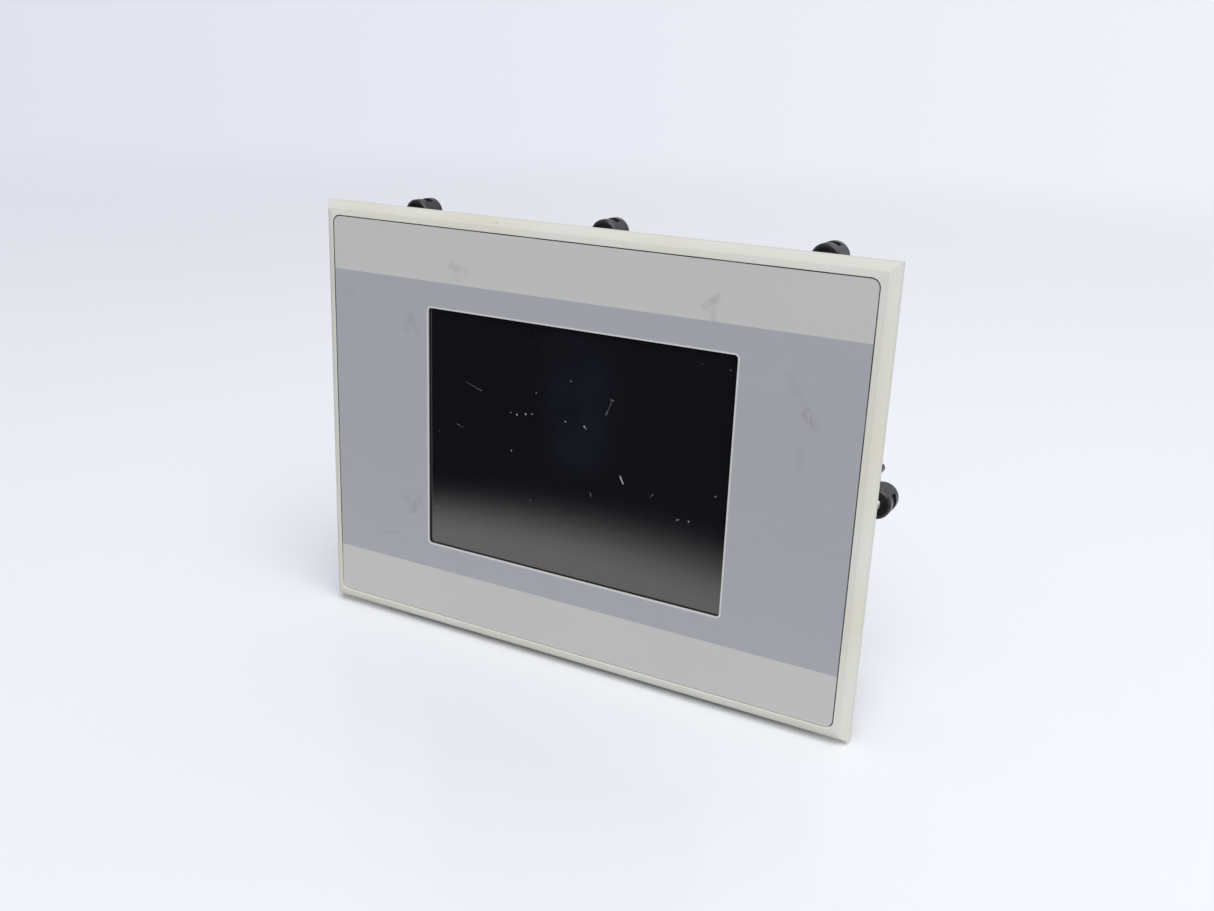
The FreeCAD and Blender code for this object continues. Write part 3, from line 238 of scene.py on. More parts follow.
# Outlines in the front's plane: half width, half height and corner radius, in metres.
RECESS = (101.1 * MM, 73.1 * MM, 3.0 * MM)
WINDOW = (59.0 * MM, 44.4 * MM, 1.2 * MM)
WINDOW_LINE = 0.55 * MM
# Where the bezel's flat front turns into its chamfered rim: half width and half height.
RIM = (103.2 * MM, 75.2 * MM)
RIM_SOFTNESS = 2.2 * MM
# Where the label's pale bands begin, above and below the middle.
BAND_TOP = 53.8 * MM
BAND_BOTTOM = 54.3 * MM


def bezel_finish():
    """Cream plastic that has yellowed a little, with painted shade in the gap round the label, a painted
    highlight below it and a few nicks.
    """
    clean = (0.675, 0.677, 0.605)
    yellowed = (0.655, 0.643, 0.545)
    finish = moulded("bezel_cream", clean, 0.45, grain=0.5 * MM, depth=12 * MICRON, blotch=0.0)
    finish.put("Base Color", finish.mix(finish.scaled(finish.noise(50 * MM, 3.0), 0.38, 0.66), clean, yellowed))
    specks = finish.scaled(finish.cells(6 * MM), 0.03, 0.06, 1.0, 0.0)
    rare = finish.math("MULTIPLY", specks, finish.scaled(finish.noise(20 * MM, 2.0), 0.6, 0.7))
    finish.repaint(finish.math("MULTIPLY", rare, 0.5), (0.42, 0.40, 0.35))
    x, y, z = finish.axes()
    # Painted shade: the gap round the label is darkened, fully above z = -40 mm and at the right edge, fading
    # to none at the bottom.
    gap = finish.scaled(finish.box_distance(*RECESS), -0.02 * MM, 0.05 * MM, 1.0, 0.0)
    gap_shade_unevenness = finish.scaled(finish.noise(15 * MM, 3.0), 0.3, 0.6, 0.7, 1.0)
    gap_shade_extent = finish.math("MAXIMUM", finish.scaled(z, -72 * MM, -40 * MM, 0.0, 1.0),
                          finish.scaled(x, 98 * MM, 101 * MM))
    front = finish.scaled(y, -5.0 * MM, -4.5 * MM, 1.0, 0.0)
    gap_shade_extent = finish.math("MULTIPLY", gap_shade_extent, front)
    painted_gap_shade = finish.math("MULTIPLY", finish.math("MULTIPLY", gap, gap_shade_unevenness), gap_shade_extent)
    finish.repaint(painted_gap_shade, (0.070, 0.066, 0.056), 0.8)
    # Painted highlight: a paler band just outside the lower edge of the label's recess.
    painted_lip_highlight = finish.scaled(finish.box_distance(*RECESS), 0.25 * MM, 0.55 * MM, 1.0, 0.0)
    lower = finish.math("MULTIPLY", finish.scaled(z, -73 * MM, -72 * MM, 1.0, 0.0), front)
    finish.repaint(finish.math("MULTIPLY", painted_lip_highlight, lower), (0.80, 0.79, 0.70))
    over = finish.math("MAXIMUM", finish.math("SUBTRACT", finish.distance(x), RIM[0]),
                       finish.math("SUBTRACT", finish.distance(z), RIM[1]))
    aside = finish.math("DIVIDE", finish.distance(over), RIM_SOFTNESS)
    near = finish.math("MAXIMUM", finish.math("SUBTRACT", 1.0, aside), 0.0)
    finish.bump(finish.math("SUBTRACT", 1.0, finish.math("MULTIPLY", near, near)), 0.22 * RIM_SOFTNESS)
    place = finish.ragged_place(0.8 * MM, 0.5 * MM)
    nicks = [((-105.8, -27.4), (-105.8, -26.6)), ((105.8, 39.3), (105.8, 39.8)),
             ((-31.8, 76.1), (-31.2, 76.6))]
    worn = finish.strongest([finish.stroke(place, start, end, 0.06 * MM, 0.3 * MM) for start, end in nicks])
    worn = finish.math("MULTIPLY", worn, finish.scaled(y, -4.0 * MM, -3.0 * MM, 0.5, 0.0))
    finish.repaint(worn, (0.20, 0.19, 0.16))
    return finish


# Old finger marks on the label: two places (x, z) and a half width in millimetres, and a strength.
GREY_SMUDGES = [
    ((-48.8, 60.2), (-46.4, 58.9), 1.7, 0.8), ((-44.6, 59.3), (-43.4, 58.4), 1.5, 0.7),
    ((-46.9, 57.4), (-46.2, 55.8), 1.3, 0.5), ((50.8, 61.4), (48.2, 59.2), 1.4, 0.8),
    ((48.2, 59.2), (46.8, 58.0), 1.7, 0.5), ((49.4, 57.6), (50.1, 54.4), 1.2, 0.6),
    ((-66.7, 40.6), (-67.4, 38.6), 1.3, 0.9), ((-67.6, 38.2), (-69.0, 35.2), 1.2, 0.6),
    ((-66.2, 39.0), (-64.0, 35.8), 1.5, 0.7), ((-69.4, -28.6), (-66.8, -33.2), 1.5, 0.8),
    ((-66.7, -33.4), (-63.4, -27.4), 1.6, 1.0), ((-78.8, -44.5), (-76.0, -44.1), 0.6, 0.8),
    ((-75.2, -44.0), (-73.0, -43.7), 0.6, 0.6), ((-97.0, 48.0), (-94.0, 45.5), 2.2, 0.3),
]
PINK_SMUDGES = [((82.6, 29.6), (84.4, 27.2), 1.9, 1.0), ((84.4, 28.8), (84.8, 26.0), 1.2, 1.0),
                ((76.4, 40.4), (80.8, 32.2), 1.6, 0.35), ((84.6, 26.6), (86.6, 24.6), 1.1, 0.5),
                ((82.0, 17.6), (81.4, 12.4), 2.0, 0.35)]


def label_finish():
    """Printed film: a pale band above and below, a bluish grey middle and a pale line round the window."""
    finish = Finish("label_print", (0.5, 0.5, 0.5), 0.42)
    _, _, z = finish.axes()
    pale = (0.538, 0.534, 0.510)
    grey = (0.372, 0.382, 0.402)
    line = (0.600, 0.596, 0.580)
    above = finish.scaled(z, BAND_TOP - 0.08 * MM, BAND_TOP + 0.08 * MM)
    below = finish.scaled(z, -BAND_BOTTOM - 0.08 * MM, -BAND_BOTTOM + 0.08 * MM, 1.0, 0.0)
    band = finish.math("MAXIMUM", above, below)
    cloud = finish.noise(60 * MM, 4.0)
    color = finish.mix(band, grey, pale)
    color = finish.mix(finish.scaled(cloud, 0.3, 0.7, 0.0, 0.06), color, (0.33, 0.335, 0.35))
    border = finish.scaled(finish.box_distance(*WINDOW), WINDOW_LINE, WINDOW_LINE + 0.06 * MM, 1.0, 0.0)
    finish.put("Base Color", finish.mix(border, color, line))
    place = finish.ragged_place(2.2 * MM, 2.4 * MM)
    patchy = finish.scaled(finish.noise(1.8 * MM, 5.0, 0.7), 0.34, 0.60)
    for smudges, tint, strength in ((GREY_SMUDGES, (0.235, 0.23, 0.215), 0.48),
                                    (PINK_SMUDGES, (0.27, 0.19, 0.20), 0.52)):
        masks = [finish.math("MULTIPLY", finish.stroke(place, start, end, 0.0, 1.5 * half * MM), share)
                 for start, end, half, share in smudges]
        mark = finish.math("MULTIPLY", finish.strongest(masks), patchy)
        finish.repaint(finish.math("MULTIPLY", mark, strength), tint)
    rubbed = finish.noise(20 * MM, 4.0, vector=finish.stretched((1.0, 1.0, 2.5)))
    finish.put("Roughness", finish.scaled(rubbed, 0.3, 0.7, 0.50, 0.40))
    finish.bump(finish.noise(0.35 * MM, 2.0), 6 * MICRON)
    return finish


# Scratches on the touch surface and one deeper cut, as places (x, z) in millimetres.
SCRATCHES = [((-43.0, 19.5), (-36.8, 17.4)), ((-47.3, 3.6), (-44.5, 2.6)), ((15.3, 22.6), (13.0, 17.2)),
             ((14.5, 22.6), (16.1, 22.5)), ((30.7, -8.4), (32.0, -7.2)), ((8.2, -11.3), (8.6, -12.8))]
CUT = ((19.4, -3.2), (20.6, -5.6))
# Flecks on it: a place (x, z) and a radius.
FLECKS = [(-24.6, 11.6, 0.28), (-22.0, 11.3, 0.40), (-18.4, 12.1, 0.48), (-15.8, 12.5, 0.36),
          (-14.3, 20.3, 0.24), (-0.8, 26.5, 0.28), (-2.4, 12.2, 0.32), (5.0, 11.7, 0.45),
          (5.5, 11.1, 0.25), (-24.0, -2.2, 0.36), (41.2, -14.2, 0.28), (41.8, -13.9, 0.2),
          (45.5, -13.8, 0.3), (54.4, -3.2, 0.3), (46.7, 39.7, 0.2), (56.4, 39.0, 0.2),
          (-55.0, -0.5, 0.2), (-15.8, -19.0, 0.2), (-56.0, -30.0, 0.25)]


def touch_finish():
    """Dark glossy film over a display that is off, with a painted faint bluish reflection in its upper middle,
    faint wiping marks, fine scratches and flecks.
    """
    finish = Finish("touch_dark", (0.0080, 0.0076, 0.0100), 0.06, Specular_IOR_Level=0.68, IOR=1.9,
                    Specular_Tint=(1.0, 0.965, 0.885))
    # Painted reflection: a faint bluish cloud over the upper middle of the film, fading out within 19 mm of a
    # strip there.
    from_middle = finish.box_distance(1 * MM, 12 * MM, 1 * MM, (2 * MM, 19 * MM))
    cloudy = finish.scaled(finish.noise(25 * MM, 3.0), 0.30, 0.62, 0.25, 1.0)
    painted_reflection = finish.math("MULTIPLY", finish.scaled(from_middle, 0.0, 19 * MM, 1.0, 0.0), cloudy)
    finish.repaint(painted_reflection, (0.0104, 0.0140, 0.0208))
    wipes = finish.noise(12 * MM, 5.0, vector=finish.stretched((0.35, 1.0, 1.0)), distortion=0.6)
    finish.put("Roughness", finish.scaled(wipes, 0.35, 0.75, 0.04, 0.11))
    place = finish.ragged_place(0.5 * MM, 0.5 * MM)
    lines = [finish.stroke(place, start, end, 0.02 * MM, 0.14 * MM) for start, end in SCRATCHES]
    broken = finish.scaled(finish.noise(0.9 * MM, 2.0), 0.35, 0.6, 0.25, 1.0)
    scratched = finish.math("MULTIPLY", finish.math("MULTIPLY", finish.strongest(lines), broken), 0.6)
    cut_mark = finish.stroke(place, *CUT, 0.08 * MM, 0.3 * MM)
    dots = [finish.stroke(place, (fx, fz), (fx, fz), 0.2 * size * MM, size * MM) for fx, fz, size in FLECKS]
    marks = finish.strongest([scratched, cut_mark, finish.strongest(dots)])
    finish.repaint(finish.math("MULTIPLY", marks, 0.85), (0.58, 0.59, 0.59), 0.5)
    finish.bump(finish.noise(20 * MM, 2.0), 4 * MICRON)
    return finish


# ---- the rest of the object ----

def rubber_finish(name, color):
    """Soft rubber with a dusty bloom."""
    finish = moulded(name, color, 0.78, grain=0.4 * MM, depth=20 * MICRON, blotch=0.25)
    bloom = finish.scaled(finish.noise(8 * MM, 5.0), 0.5, 0.8, 0.0, 0.35)
    finish.repaint(bloom, tuple(channel + 0.03 for channel in color))
    return finish


def clamp_finish():
    """Black glass-filled plastic: flow streaks and slightly polished grain."""
    finish = moulded("clamp_black", (0.022, 0.021, 0.024), 0.31, grain=0.4 * MM, depth=15 * MICRON, blotch=0.2)
    streaks = finish.noise(2 * MM, 4.0, vector=finish.stretched((1.0, 0.25, 1.0)), distortion=0.8)
    shade = finish.scaled(streaks, 0.45, 0.75)
    finish.put("Base Color", finish.mix(shade, (0.016, 0.016, 0.018), (0.034, 0.033, 0.036)))
    return finish


def sheet_metal(name, color, grain=2.2 * MM):
    """Zinc-coated or rolled sheet: a fine crystal grain that changes shade and gloss, and long scuffs."""
    finish = Finish(name, color, 0.4, metallic=0.85)
    crystal = finish.cells(grain, output="Color")
    shade = finish.add("ShaderNodeSeparateColor", {0: crystal}).outputs[0]
    broad = finish.scaled(finish.noise(40 * MM, 4.0), 0.3, 0.7)
    tone = finish.math("ADD", finish.math("MULTIPLY", shade, 0.45), finish.math("MULTIPLY", broad, 0.55))
    dull = tuple(channel * 0.86 for channel in color)
    bright = tuple(min(1.0, channel * 1.06) for channel in color)
    finish.put("Base Color", finish.mix(tone, dull, bright))
    finish.put("Roughness", finish.scaled(tone, 0.0, 1.0, 0.50, 0.36))
    scuffs = finish.noise(0.6 * MM, 2.0, vector=finish.stretched((0.08, 1.0, 1.0)))
    finish.bump(scuffs, 6 * MICRON)
    long_scuffs = finish.noise(1.2 * MM, 3.0, vector=finish.stretched((0.03, 0.03, 1.0)), distortion=0.4)
    finish.repaint(finish.scaled(long_scuffs, 0.68, 0.78, 0.0, 0.35), bright, 0.3)
    return finish


def board_finish():
    """Solder mask over copper: tracks show as slightly paler lines."""
    finish = Finish("circuit_board_green", (0.012, 0.13, 0.045), 0.32)
    brick = {"Vector": finish.place, "Scale": 400.0, "Mortar Size": 0.03}
    tracks = finish.add("ShaderNodeTexBrick", brick).outputs[1]
    finish.put("Base Color", finish.mix(tracks, (0.010, 0.11, 0.04), (0.03, 0.20, 0.07)))
    finish.bump(tracks, 30 * MICRON)
    return finish


def glass_finish(name, color, roughness=0.03):
    """A clear sheet that is backed, so that it shows as an even tone."""
    finish = Finish(name, color, roughness, IOR=1.5)
    finish.put("Roughness", finish.scaled(finish.noise(10 * MM, 3.0), 0.3, 0.7, roughness, roughness + 0.05))
    return finish


def middle_of(name):
    low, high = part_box(name)
    return [(a + b) / 2 for a, b in zip(low, high)]


def port_finish():
    """Tinned steel shells, with black insulators and gilt contacts in the mouths."""
    finish = plated("port_shell", (0.66, 0.66, 0.64), 0.26)
    x, y, _ = finish.axes()
    black = (0.018, 0.018, 0.020)
    serial_x, port_y, _ = middle_of("serial_port")
    fieldbus_x = middle_of("fieldbus_port")[0]
    face_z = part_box("serial_port")[0][2]
    off_x = finish.math("MINIMUM", finish.distance(x, serial_x), finish.distance(x, fieldbus_x))
    slant = finish.math("MULTIPLY", finish.math("SUBTRACT", y, port_y), 0.18)
    inside = finish.math("LESS_THAN", finish.math("ADD", off_x, slant), 7.1 * MM)
    port_span = (port_y - 3.6 * MM, port_y + 3.6 * MM)
    mouth = finish.within(y=port_span, z=(face_z - 1 * MM, face_z + 4.2 * MM))
    finish.repaint(finish.math("MULTIPLY", inside, mouth), black, 0.45, 0.0)
    deep = finish.within(y=port_span, z=(face_z + 0.6 * MM, face_z + 4.2 * MM))
    finish.repaint(finish.math("MULTIPLY", inside, deep), (0.75, 0.52, 0.18), 0.3, 1.0)
    jack_x = middle_of("ethernet_port")[0]
    jack_low, jack_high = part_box("ethernet_port")
    mouth_y = (jack_low[1] + 1.9 * MM, jack_low[1] + 11.7 * MM)
    cavity = finish.within((jack_x - 6.0 * MM, jack_x + 6.0 * MM), mouth_y,
                           (jack_low[2] + 0.15 * MM, jack_high[2]))
    finish.repaint(cavity, black, 0.5, 0.0)
    lamp_y = (jack_high[1] - 2.9 * MM, jack_high[1] - 0.7 * MM)
    lamp_z = (jack_low[2] - 1 * MM, jack_low[2] + 0.1 * MM)
    for side, tint in ((-1, (0.55, 0.42, 0.06)), (1, (0.10, 0.42, 0.12))):
        place = jack_x + side * 5.7 * MM
        finish.repaint(finish.within((place - 1.7 * MM, place + 1.7 * MM), lamp_y, lamp_z), tint, 0.2, 0.0)
    usb_low, usb_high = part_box("usb_port")
    tongue = finish.within((usb_low[0] + 0.7 * MM, usb_low[0] + 9.0 * MM),
                           (usb_high[1] - 3.0 * MM, usb_high[1] - 1.0 * MM),
                           (usb_low[2] + 1.1 * MM, usb_high[2] - 1.1 * MM))
    finish.repaint(tongue, black, 0.4, 0.0)
    return finish


TERMINAL_PITCH = 5.08 * MM


def terminal_finish():
    """Green moulded plastic with the zinc heads of three terminal screws."""
    finish = moulded("terminal_green", (0.03, 0.22, 0.085), 0.45)
    x, _, z = finish.axes()
    low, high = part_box("power_plug")
    off_x = finish.distance(x, middle_of("power_plug")[0])
    near = finish.math("MINIMUM", off_x, finish.distance(off_x, TERMINAL_PITCH))
    across = finish.math("SUBTRACT", z, low[2] + 4.1 * MM)
    reach = finish.math("SQRT", finish.math("ADD", finish.math("MULTIPLY", near, near),
                                            finish.math("MULTIPLY", across, across)))
    head = finish.math("MULTIPLY", finish.math("LESS_THAN", reach, 1.69 * MM),
                       finish.within(y=(high[1] - 1.2 * MM, high[1] - 0.38 * MM)))
    finish.repaint(head, (0.62, 0.62, 0.60), 0.32, 1.0)
    entry = finish.math("MULTIPLY", finish.math("LESS_THAN", near, 1.75 * MM),
                        finish.within(y=(high[1] - 6.7 * MM, high[1] - 3.1 * MM),
                                      z=(low[2] + 0.3 * MM, low[2] + 6.0 * MM)))
    finish.repaint(entry, (0.30, 0.30, 0.29), 0.4, 1.0)
    return finish


def card_finish():
    """Dark plastic card with a blank paper label on its back."""
    finish = moulded("card_dark", (0.04, 0.04, 0.045), 0.4)
    low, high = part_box("memory_card")
    label = finish.within((low[0] + 4 * MM, high[0] - 5 * MM), (high[1] - 0.05 * MM, high[1] + 1 * MM),
                          (low[2] + 4 * MM, high[2] - 4 * MM))
    finish.repaint(label, (0.72, 0.71, 0.66), 0.7)
    return finish


def rating_finish():
    """Silver foil with printed frame lines and no text."""
    finish = plated("rating_foil", (0.72, 0.72, 0.72), 0.42, grain=90 * MM, streak=0.05)
    low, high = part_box("rating_plate")
    middle = ((low[0] + high[0]) / 2, (low[2] + high[2]) / 2)
    half = ((high[0] - low[0]) / 2, (high[2] - low[2]) / 2)
    margin = 1.6 * MM
    edge = finish.box_distance(half[0] - margin, half[1] - margin, 0.8 * MM, middle)
    lines = [finish.scaled(finish.distance(edge), 0.10 * MM, 0.18 * MM, 1.0, 0.0)]
    span_x = (low[0] + margin, high[0] - margin)
    for share in (0.28, 0.5, 0.72):
        place = low[2] + share * (high[2] - low[2])
        lines.append(finish.within(x=span_x, z=(place - 0.12 * MM, place + 0.12 * MM)))
    lines.append(finish.within(x=(middle[0] - 0.12 * MM, middle[0] + 0.12 * MM),
                               z=(low[2] + margin, middle[1])))
    finish.repaint(finish.strongest(lines), (0.03, 0.03, 0.03), 0.5, 0.0)
    return finish


SLOT_FINISHES = {
    "bezel_plastic": bezel_finish(),
    "label_film": label_finish(),
    "gasket_rubber": rubber_finish("gasket_black", (0.022, 0.022, 0.022)),
    "touch_surface": touch_finish(),
    "clear_glass": glass_finish("display_glass", (0.02, 0.022, 0.025)),
    "foam": rubber_finish("foam_black", (0.015, 0.015, 0.015)),
    "zinc_steel": sheet_metal("zinc_sheet", (0.60, 0.61, 0.62), grain=4 * MM),
    "light_guide": glass_finish("acrylic", (0.75, 0.78, 0.78), 0.2),
    "white_plastic": moulded("tray_white", (0.75, 0.75, 0.72)),
    "fastener_steel": plated("fastener_zinc", (0.70, 0.70, 0.69), 0.28, grain=1 * MM),
    "circuit_board": board_finish(),
    "chip_plastic": moulded("chip_black", (0.02, 0.02, 0.02), 0.5),
    "heat_sink_aluminium": plated("anodised_aluminium", (0.45, 0.45, 0.46), 0.4),
    "flex_film": moulded("flex_amber", (0.45, 0.22, 0.05), 0.3),
    "cover_aluminium": sheet_metal("cover_sheet", (0.62, 0.625, 0.63)),
    "rating_foil": rating_finish(),
    "brass": plated("brass_plain", (0.72, 0.52, 0.22), 0.3, grain=1.5 * MM),
    "connector_shell": port_finish(),
    "terminal_plastic": terminal_finish(),
    "card_plastic": card_finish(),
    "button_plastic": moulded("button_black", (0.03, 0.03, 0.03), 0.45),
    "clamp_plastic": clamp_finish(),
}
SLOTS = {part["node"]: part["material_slot"] for part in frame["record"]["subparts"]}
BODIES = frame["record"]["behaviour"]["bodies"]
NODE_BODIES = {node: body for body, members in BODIES.items() for node in members}


def dress(name, bevel=0.0):
    """Gives a CAD node its finish and, where wanted, softened edges."""
    piece = NODES[name]
    material = SLOT_FINISHES[SLOTS[name]].material
    if not piece.material_slots:
        piece.data.materials.append(material)
    for slot in piece.material_slots:
        slot.material = material
    if bevel:
        weld = piece.modifiers.new("weld", "WELD")
        weld.merge_threshold = 0.001 * MM
        edge = piece.modifiers.new("soft_edges", "BEVEL")
        edge.width = bevel
        edge.segments = 2
        edge.limit_method = "ANGLE"
        edge.angle_limit = math.radians(35)
        edge.use_clamp_overlap = True
        edge.harden_normals = True


SOFT_EDGES = {"front_bezel": 0.30 * MM, "rear_cover": 0.15 * MM}
for node_name in NODES:
    dress(node_name, SOFT_EDGES.get(node_name, 0.0))


# ---- threads, nut and contacts ----

def ring_mesh(name, rings, segments, closed=False):
    """Rings about the Y axis, each a place and a radius; a radius may depend on the angle and the place."""
    mesh = bpy.data.meshes.new(name)
    model = bmesh.new()
    loops = []
    for place, radius in rings:
        if radius == 0.0:
            loops.append([model.verts.new((0.0, place, 0.0))])
            continue
        loop = []
        for step in range(segments):
            angle = FULL_TURN * step / segments
            reach = radius(angle, place) if callable(radius) else radius
            loop.append(model.verts.new((reach * math.cos(angle), place, reach * math.sin(angle))))
        loops.append(loop)
    pairs = list(zip(loops, loops[1:]))
    if closed:
        pairs.append((loops[-1], loops[0]))
    for first, second in pairs:
        for step in range(segments):
            after = step + 1
            corners = (first[step % len(first)], first[after % len(first)],
                       second[after % len(second)], second[step % len(second)])
            model.faces.new(dict.fromkeys(corners))
    bmesh.ops.recalc_face_normals(model, faces=model.faces)
    model.to_mesh(mesh)
    model.free()
    return mesh


def hexagon_radius(corner, angle):
    """How far a hexagon's side is from its middle at an angle, with a corner at angle zero."""
    sixth = FULL_TURN / 6
    return corner * math.cos(sixth / 2) / math.cos(angle % sixth - sixth / 2)


def threaded(low, high, radius, pitch, depth, chamfer):
    """Rings of a threaded stretch whose ends are chamfered."""
    def reach(angle, place):
        phase = (place / pitch - angle / FULL_TURN) % 1.0
        slope = min(1.0, max(0.0, (abs(2.0 * phase - 1.0) - 0.12) / 0.76))
        from_end = max(0.0, min(place - low, high - place))
        return min(radius - depth * slope, radius - chamfer + from_end)
    rows = round((high - low) / (pitch / 6))
    return [(low + (high - low) * row / rows, reach) for row in range(rows + 1)]


def place_piece(name, mesh, node, location=(0.0, 0.0, 0.0), stands_for_node=True):
    """Adds a piece that rides with a CAD node's body and has its finish."""
    piece = bpy.data.objects.new(name, mesh)
    piece.location = location
    bpy.context.scene.collection.objects.link(piece)
    bpy.context.view_layer.update()
    if not mesh.materials:
        mesh.materials.append(SLOT_FINISHES[SLOTS[node]].material)
    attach(piece, NODE_BODIES[node])
    if stands_for_node:
        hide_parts(node)
    return piece


def make_set_screws():
    """M3 set screws with a cup point, rolled threads and a hexagon socket."""
    sample = next(name for name in NODES if name.endswith("_screw"))
    low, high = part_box(sample)
    front, back = low[1], high[1]
    radius = (high[0] - low[0]) / 2
    socket_corner = 0.87 * MM
    def socket(angle, place):
        return hexagon_radius(socket_corner, angle)
    rings = [(front + 0.35 * MM, 0.0), (front, 0.7 * MM)]
    rings += threaded(front, back, radius, pitch=0.5 * MM, depth=0.3 * MM, chamfer=0.45 * MM)
    rings += [(back, socket), (back - 2.0 * MM, socket), (back - 2.4 * MM, 0.0)]
    mesh = ring_mesh("set_screw", rings, 24)
    for name in NODES:
        if name.endswith("_screw"):
            low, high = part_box(name)
            middle = ((low[0] + high[0]) / 2, 0.0, (low[2] + high[2]) / 2)
            place_piece(name + "_thread", mesh, name, middle)


def make_earth_terminal():
    """The M4 stud with its thread, and a nut with chamfered corners."""
    low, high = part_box("earth_stud")
    nut_low, nut_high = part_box("earth_nut")
    middle = ((low[0] + high[0]) / 2, 0.0, (low[2] + high[2]) / 2)
    thread_start = nut_high[1] + 0.2 * MM
    collar_end = nut_low[1] - 1.0 * MM
    collar, root = 4.0 * MM, 1.6 * MM
    rings = [(low[1], 0.0), (low[1], collar), (collar_end, collar), (collar_end, root),
             (thread_start, root)]
    rings += threaded(thread_start, high[1], 2.0 * MM, pitch=0.7 * MM, depth=0.4 * MM, chamfer=0.45 * MM)
    rings += [(high[1], 0.0)]
    place_piece("earth_stud_thread", ring_mesh("earth_stud_turned", rings, 32), "earth_stud", middle)

    corner = (nut_high[0] - nut_low[0]) / 2
    bore = 1.66 * MM
    flat = 3.45 * MM
    def outside(angle, place):
        from_end = min(place - nut_low[1], nut_high[1] - place)
        return min(hexagon_radius(corner, angle), flat + 1.8 * from_end)
    depths = (0.0, 0.1, 0.2, 0.3, 0.4, 1.6, 2.8, 2.9, 3.0, 3.1, 3.2)
    sides = [(nut_low[1] + depth * MM, outside) for depth in depths]
    rings = [(nut_low[1], bore)] + sides + [(nut_high[1], bore)]
    turned = ring_mesh("earth_nut_turned", rings, 72, closed=True)
    place_piece("earth_nut_chamfered", turned, "earth_nut", middle)


def bar_mesh(name, paths, half_width, thickness):
    """Thin strips of one width across X, each along a path of (x, y, z) places."""
    mesh = bpy.data.meshes.new(name)
    model = bmesh.new()
    for path in paths:
        rows = []
        for index, point in enumerate(path):
            before = Vector(path[max(index - 1, 0)])
            after = Vector(path[min(index + 1, len(path) - 1)])
            normal = Vector((1.0, 0.0, 0.0)).cross(after - before).normalized() * thickness / 2
            side = Vector((half_width, 0.0, 0.0))
            middle = Vector(point)
            rows.append([model.verts.new(middle + sx * side + sn * normal)
                         for sx, sn in ((-1, -1), (1, -1), (1, 1), (-1, 1))])
        for first, second in zip(rows, rows[1:]):
            for step in range(4):
                model.faces.new((first[step], first[step - 1], second[step - 1], second[step]))
        model.faces.new(rows[0])
        model.faces.new(rows[-1])
    bmesh.ops.recalc_face_normals(model, faces=model.faces)
    model.to_mesh(mesh)
    model.free()
    return mesh


def make_network_contacts():
    """Eight sprung wires in the network jack, each a path of heights above its floor and depths in it."""
    low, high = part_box("ethernet_port")
    middle_x = (low[0] + high[0]) / 2
    floor_y = low[1] + 2.15 * MM
    wire_pitch = 1.02 * MM
    wire_path = ((0.0, 1.2), (0.1, 2.2), (2.6, 8.6), (2.7, 10.6))
    paths = [[(middle_x + (index - 3.5) * wire_pitch, floor_y + rise * MM, low[2] + depth * MM)
              for rise, depth in wire_path] for index in range(8)]
    mesh = bar_mesh("network_contact_wires", paths, 0.2 * MM, 0.2 * MM)
    mesh.materials.append(plated("contact_gilt", (0.83, 0.60, 0.24), 0.25, grain=1 * MM).material)
    place_piece("network_contacts", mesh, "ethernet_port", stands_for_node=False)


make_set_screws()
make_earth_terminal()
make_network_contacts()


# ---- stage, light and camera ----

FLOOR_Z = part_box("clamp_bottom_middle_body")[0][2]
FLOOR_HALF = 6.0
# Across the room from the dim side to the light side, level with the photographer's view.
ROOM_ACROSS = (0.884, 0.468, 0.0)
# The backdrop's colour on each side, and how much of what it shows also lights the object.
BACKDROP_DIM = (0.745, 0.755, 0.850, 1.0)
BACKDROP_LIGHT = (0.890, 0.905, 0.965, 1.0)
BACKDROP_SHARE = 0.68
# Where the soft light shines to.
KEY_DIRECTION = (-0.35, 0.42, -0.84)


def grid_sheet(name, low, high):
    """A flat sheet between two corners that share one height."""
    mesh = bpy.data.meshes.new(name)
    model = bmesh.new()
    bmesh.ops.create_grid(model, x_segments=8, y_segments=8, size=0.5)
    for vertex in model.verts:
        vertex.co.x = low[0] + (vertex.co.x + 0.5) * (high[0] - low[0])
        vertex.co.y = low[1] + (vertex.co.y + 0.5) * (high[1] - low[1])
        vertex.co.z = low[2]
    model.to_mesh(mesh)
    model.free()
    sheet = bpy.data.objects.new(name, mesh)
    bpy.context.scene.collection.objects.link(sheet)
    return sheet


def make_floor():
    """A pale table top, painted lighter towards the light side of the room, that runs out softly into the
    background, so that it has no horizon.
    """
    floor = grid_sheet("floor", (-FLOOR_HALF, -FLOOR_HALF, FLOOR_Z), (FLOOR_HALF, FLOOR_HALF, FLOOR_Z))
    finish = Finish("floor_white", (0.86, 0.875, 0.90), 0.16, Specular_IOR_Level=0.5)
    # Painted light: the floor's colour grows lighter across the room towards the light side.
    across = finish.vector("DOT_PRODUCT", finish.place, ROOM_ACROSS, 1)
    tone = finish.scaled(across, -0.45, 0.5)
    finish.put("Base Color", finish.mix(tone, (0.88, 0.895, 0.935), (0.945, 0.965, 0.985)))
    finish.bump(finish.noise(4 * MM, 3.0), 40 * MICRON)
    reach = finish.vector("LENGTH", finish.place, output=1)
    finish.put("Alpha", finish.scaled(reach, 0.8, 3.0, 1.0, 0.0))
    floor.data.materials.append(finish.material)


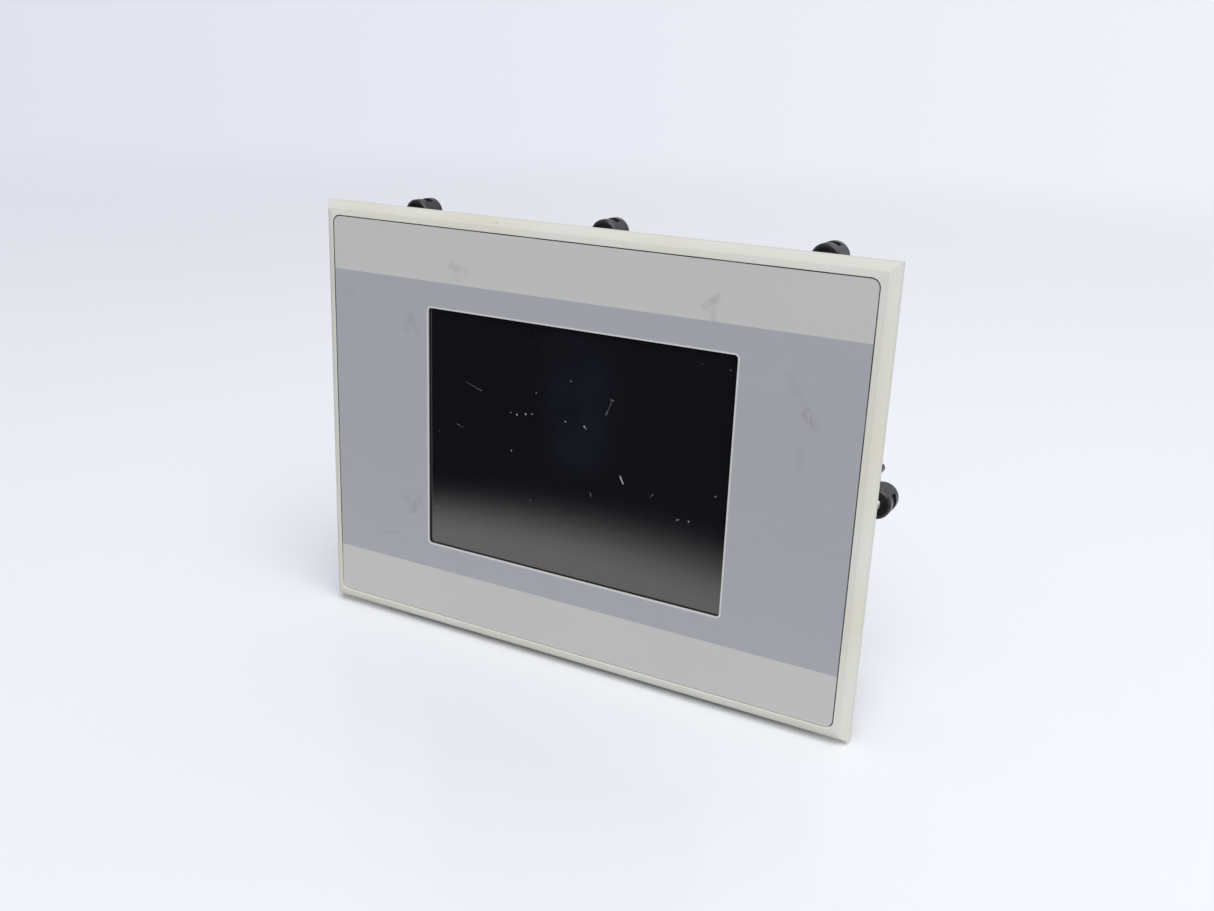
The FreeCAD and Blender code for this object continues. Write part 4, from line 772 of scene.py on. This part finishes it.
def make_dark_card():
    """The unlit part of the room that the touch surface mirrors. Only reflections from above see it."""
    card = grid_sheet("dark_card", (-2.0, -2.5, FLOOR_Z + 1 * MM), (0.6, -0.05, FLOOR_Z + 1 * MM))
    finish = Finish("card_black", (0.0, 0.0, 0.0), 1.0, Specular_IOR_Level=0.0)
    x, y, _ = finish.axes()
    aside = finish.math("ADD", x, 55 * MM)
    edge = finish.math("SUBTRACT", y, finish.math("MULTIPLY", finish.math("MULTIPLY", aside, aside), 1.9))
    lit = finish.math("POWER", finish.scaled(edge, -0.192, -0.086), 2.5)
    shaded = finish.math("SUBTRACT", 1.0, lit)
    facing = finish.math("SUBTRACT", 1.0, finish.add("ShaderNodeNewGeometry").outputs["Backfacing"])
    finish.put("Alpha", finish.math("MULTIPLY", shaded, facing))
    card.data.materials.append(finish.material)
    card.visible_camera = False
    card.visible_diffuse = False
    card.visible_shadow = False
    card.visible_transmission = False


def make_lights():
    """An even bright backdrop, a little lighter to the right, and a broad soft light from the upper right.

    The backdrop lights the object less than it shows, so that the soft light gives its share of the shadows.
    """
    world = bpy.data.worlds.new("studio")
    bpy.context.scene.world = world
    world.use_nodes = True
    nodes = world.node_tree.nodes
    links = world.node_tree.links
    direction = nodes.new("ShaderNodeTexCoord")
    across = nodes.new("ShaderNodeVectorMath")
    across.operation = "DOT_PRODUCT"
    across.inputs[1].default_value = ROOM_ACROSS
    tone = nodes.new("ShaderNodeMapRange")
    tone.interpolation_type = "SMOOTHSTEP"
    tone.inputs["From Min"].default_value = -0.7
    tone.inputs["From Max"].default_value = 0.7
    blend = nodes.new("ShaderNodeMix")
    blend.data_type = "RGBA"
    blend.inputs[MIX_COLORS[0]].default_value = BACKDROP_DIM
    blend.inputs[MIX_COLORS[1]].default_value = BACKDROP_LIGHT
    links.new(direction.outputs["Generated"], across.inputs[0])
    links.new(across.outputs["Value"], tone.inputs["Value"])
    links.new(tone.outputs["Result"], blend.inputs[0])
    links.new(blend.outputs[MIX_COLOR_RESULT], nodes["Background"].inputs["Color"])
    strength = nodes.new("ShaderNodeMapRange")
    strength.inputs["To Min"].default_value = BACKDROP_SHARE
    strength.inputs["To Max"].default_value = 1.0
    links.new(nodes.new("ShaderNodeLightPath").outputs["Is Camera Ray"], strength.inputs["Value"])
    links.new(strength.outputs["Result"], nodes["Background"].inputs["Strength"])
    sun = bpy.data.lights.new("soft_key", "SUN")
    sun.energy = 1.8
    sun.angle = math.radians(55)
    sun.color = (1.0, 0.985, 0.955)
    holder = bpy.data.objects.new("soft_key", sun)
    bpy.context.scene.collection.objects.link(holder)
    holder.rotation_mode = "QUATERNION"
    holder.rotation_quaternion = Vector(KEY_DIRECTION).to_track_quat("-Z", "Y")


def make_camera():
    """The photographer's place, aim and slight roll."""
    place = Vector((0.1955, -0.3482, 0.1274))
    aim = Vector((0.0115, 0.0, 0.0014))
    roll = math.radians(2.44)
    camera = bpy.data.cameras.new("camera")
    camera.lens = 35.95
    camera.sensor_width = 36.0
    camera.clip_start = 0.01
    holder = bpy.data.objects.new("camera", camera)
    bpy.context.scene.collection.objects.link(holder)
    forward = (aim - place).normalized()
    level = forward.cross(Vector((0.0, 0.0, 1.0))).normalized()
    upright = level.cross(forward)
    right = level * math.cos(roll) + upright * math.sin(roll)
    up = right.cross(forward)
    holder.matrix_world = Matrix.Translation(place) @ Matrix((right, up, -forward)).transposed().to_4x4()
    bpy.context.scene.camera = holder


make_floor()
make_dark_card()
make_lights()
make_camera()
bpy.context.scene.view_settings.view_transform = "Standard"
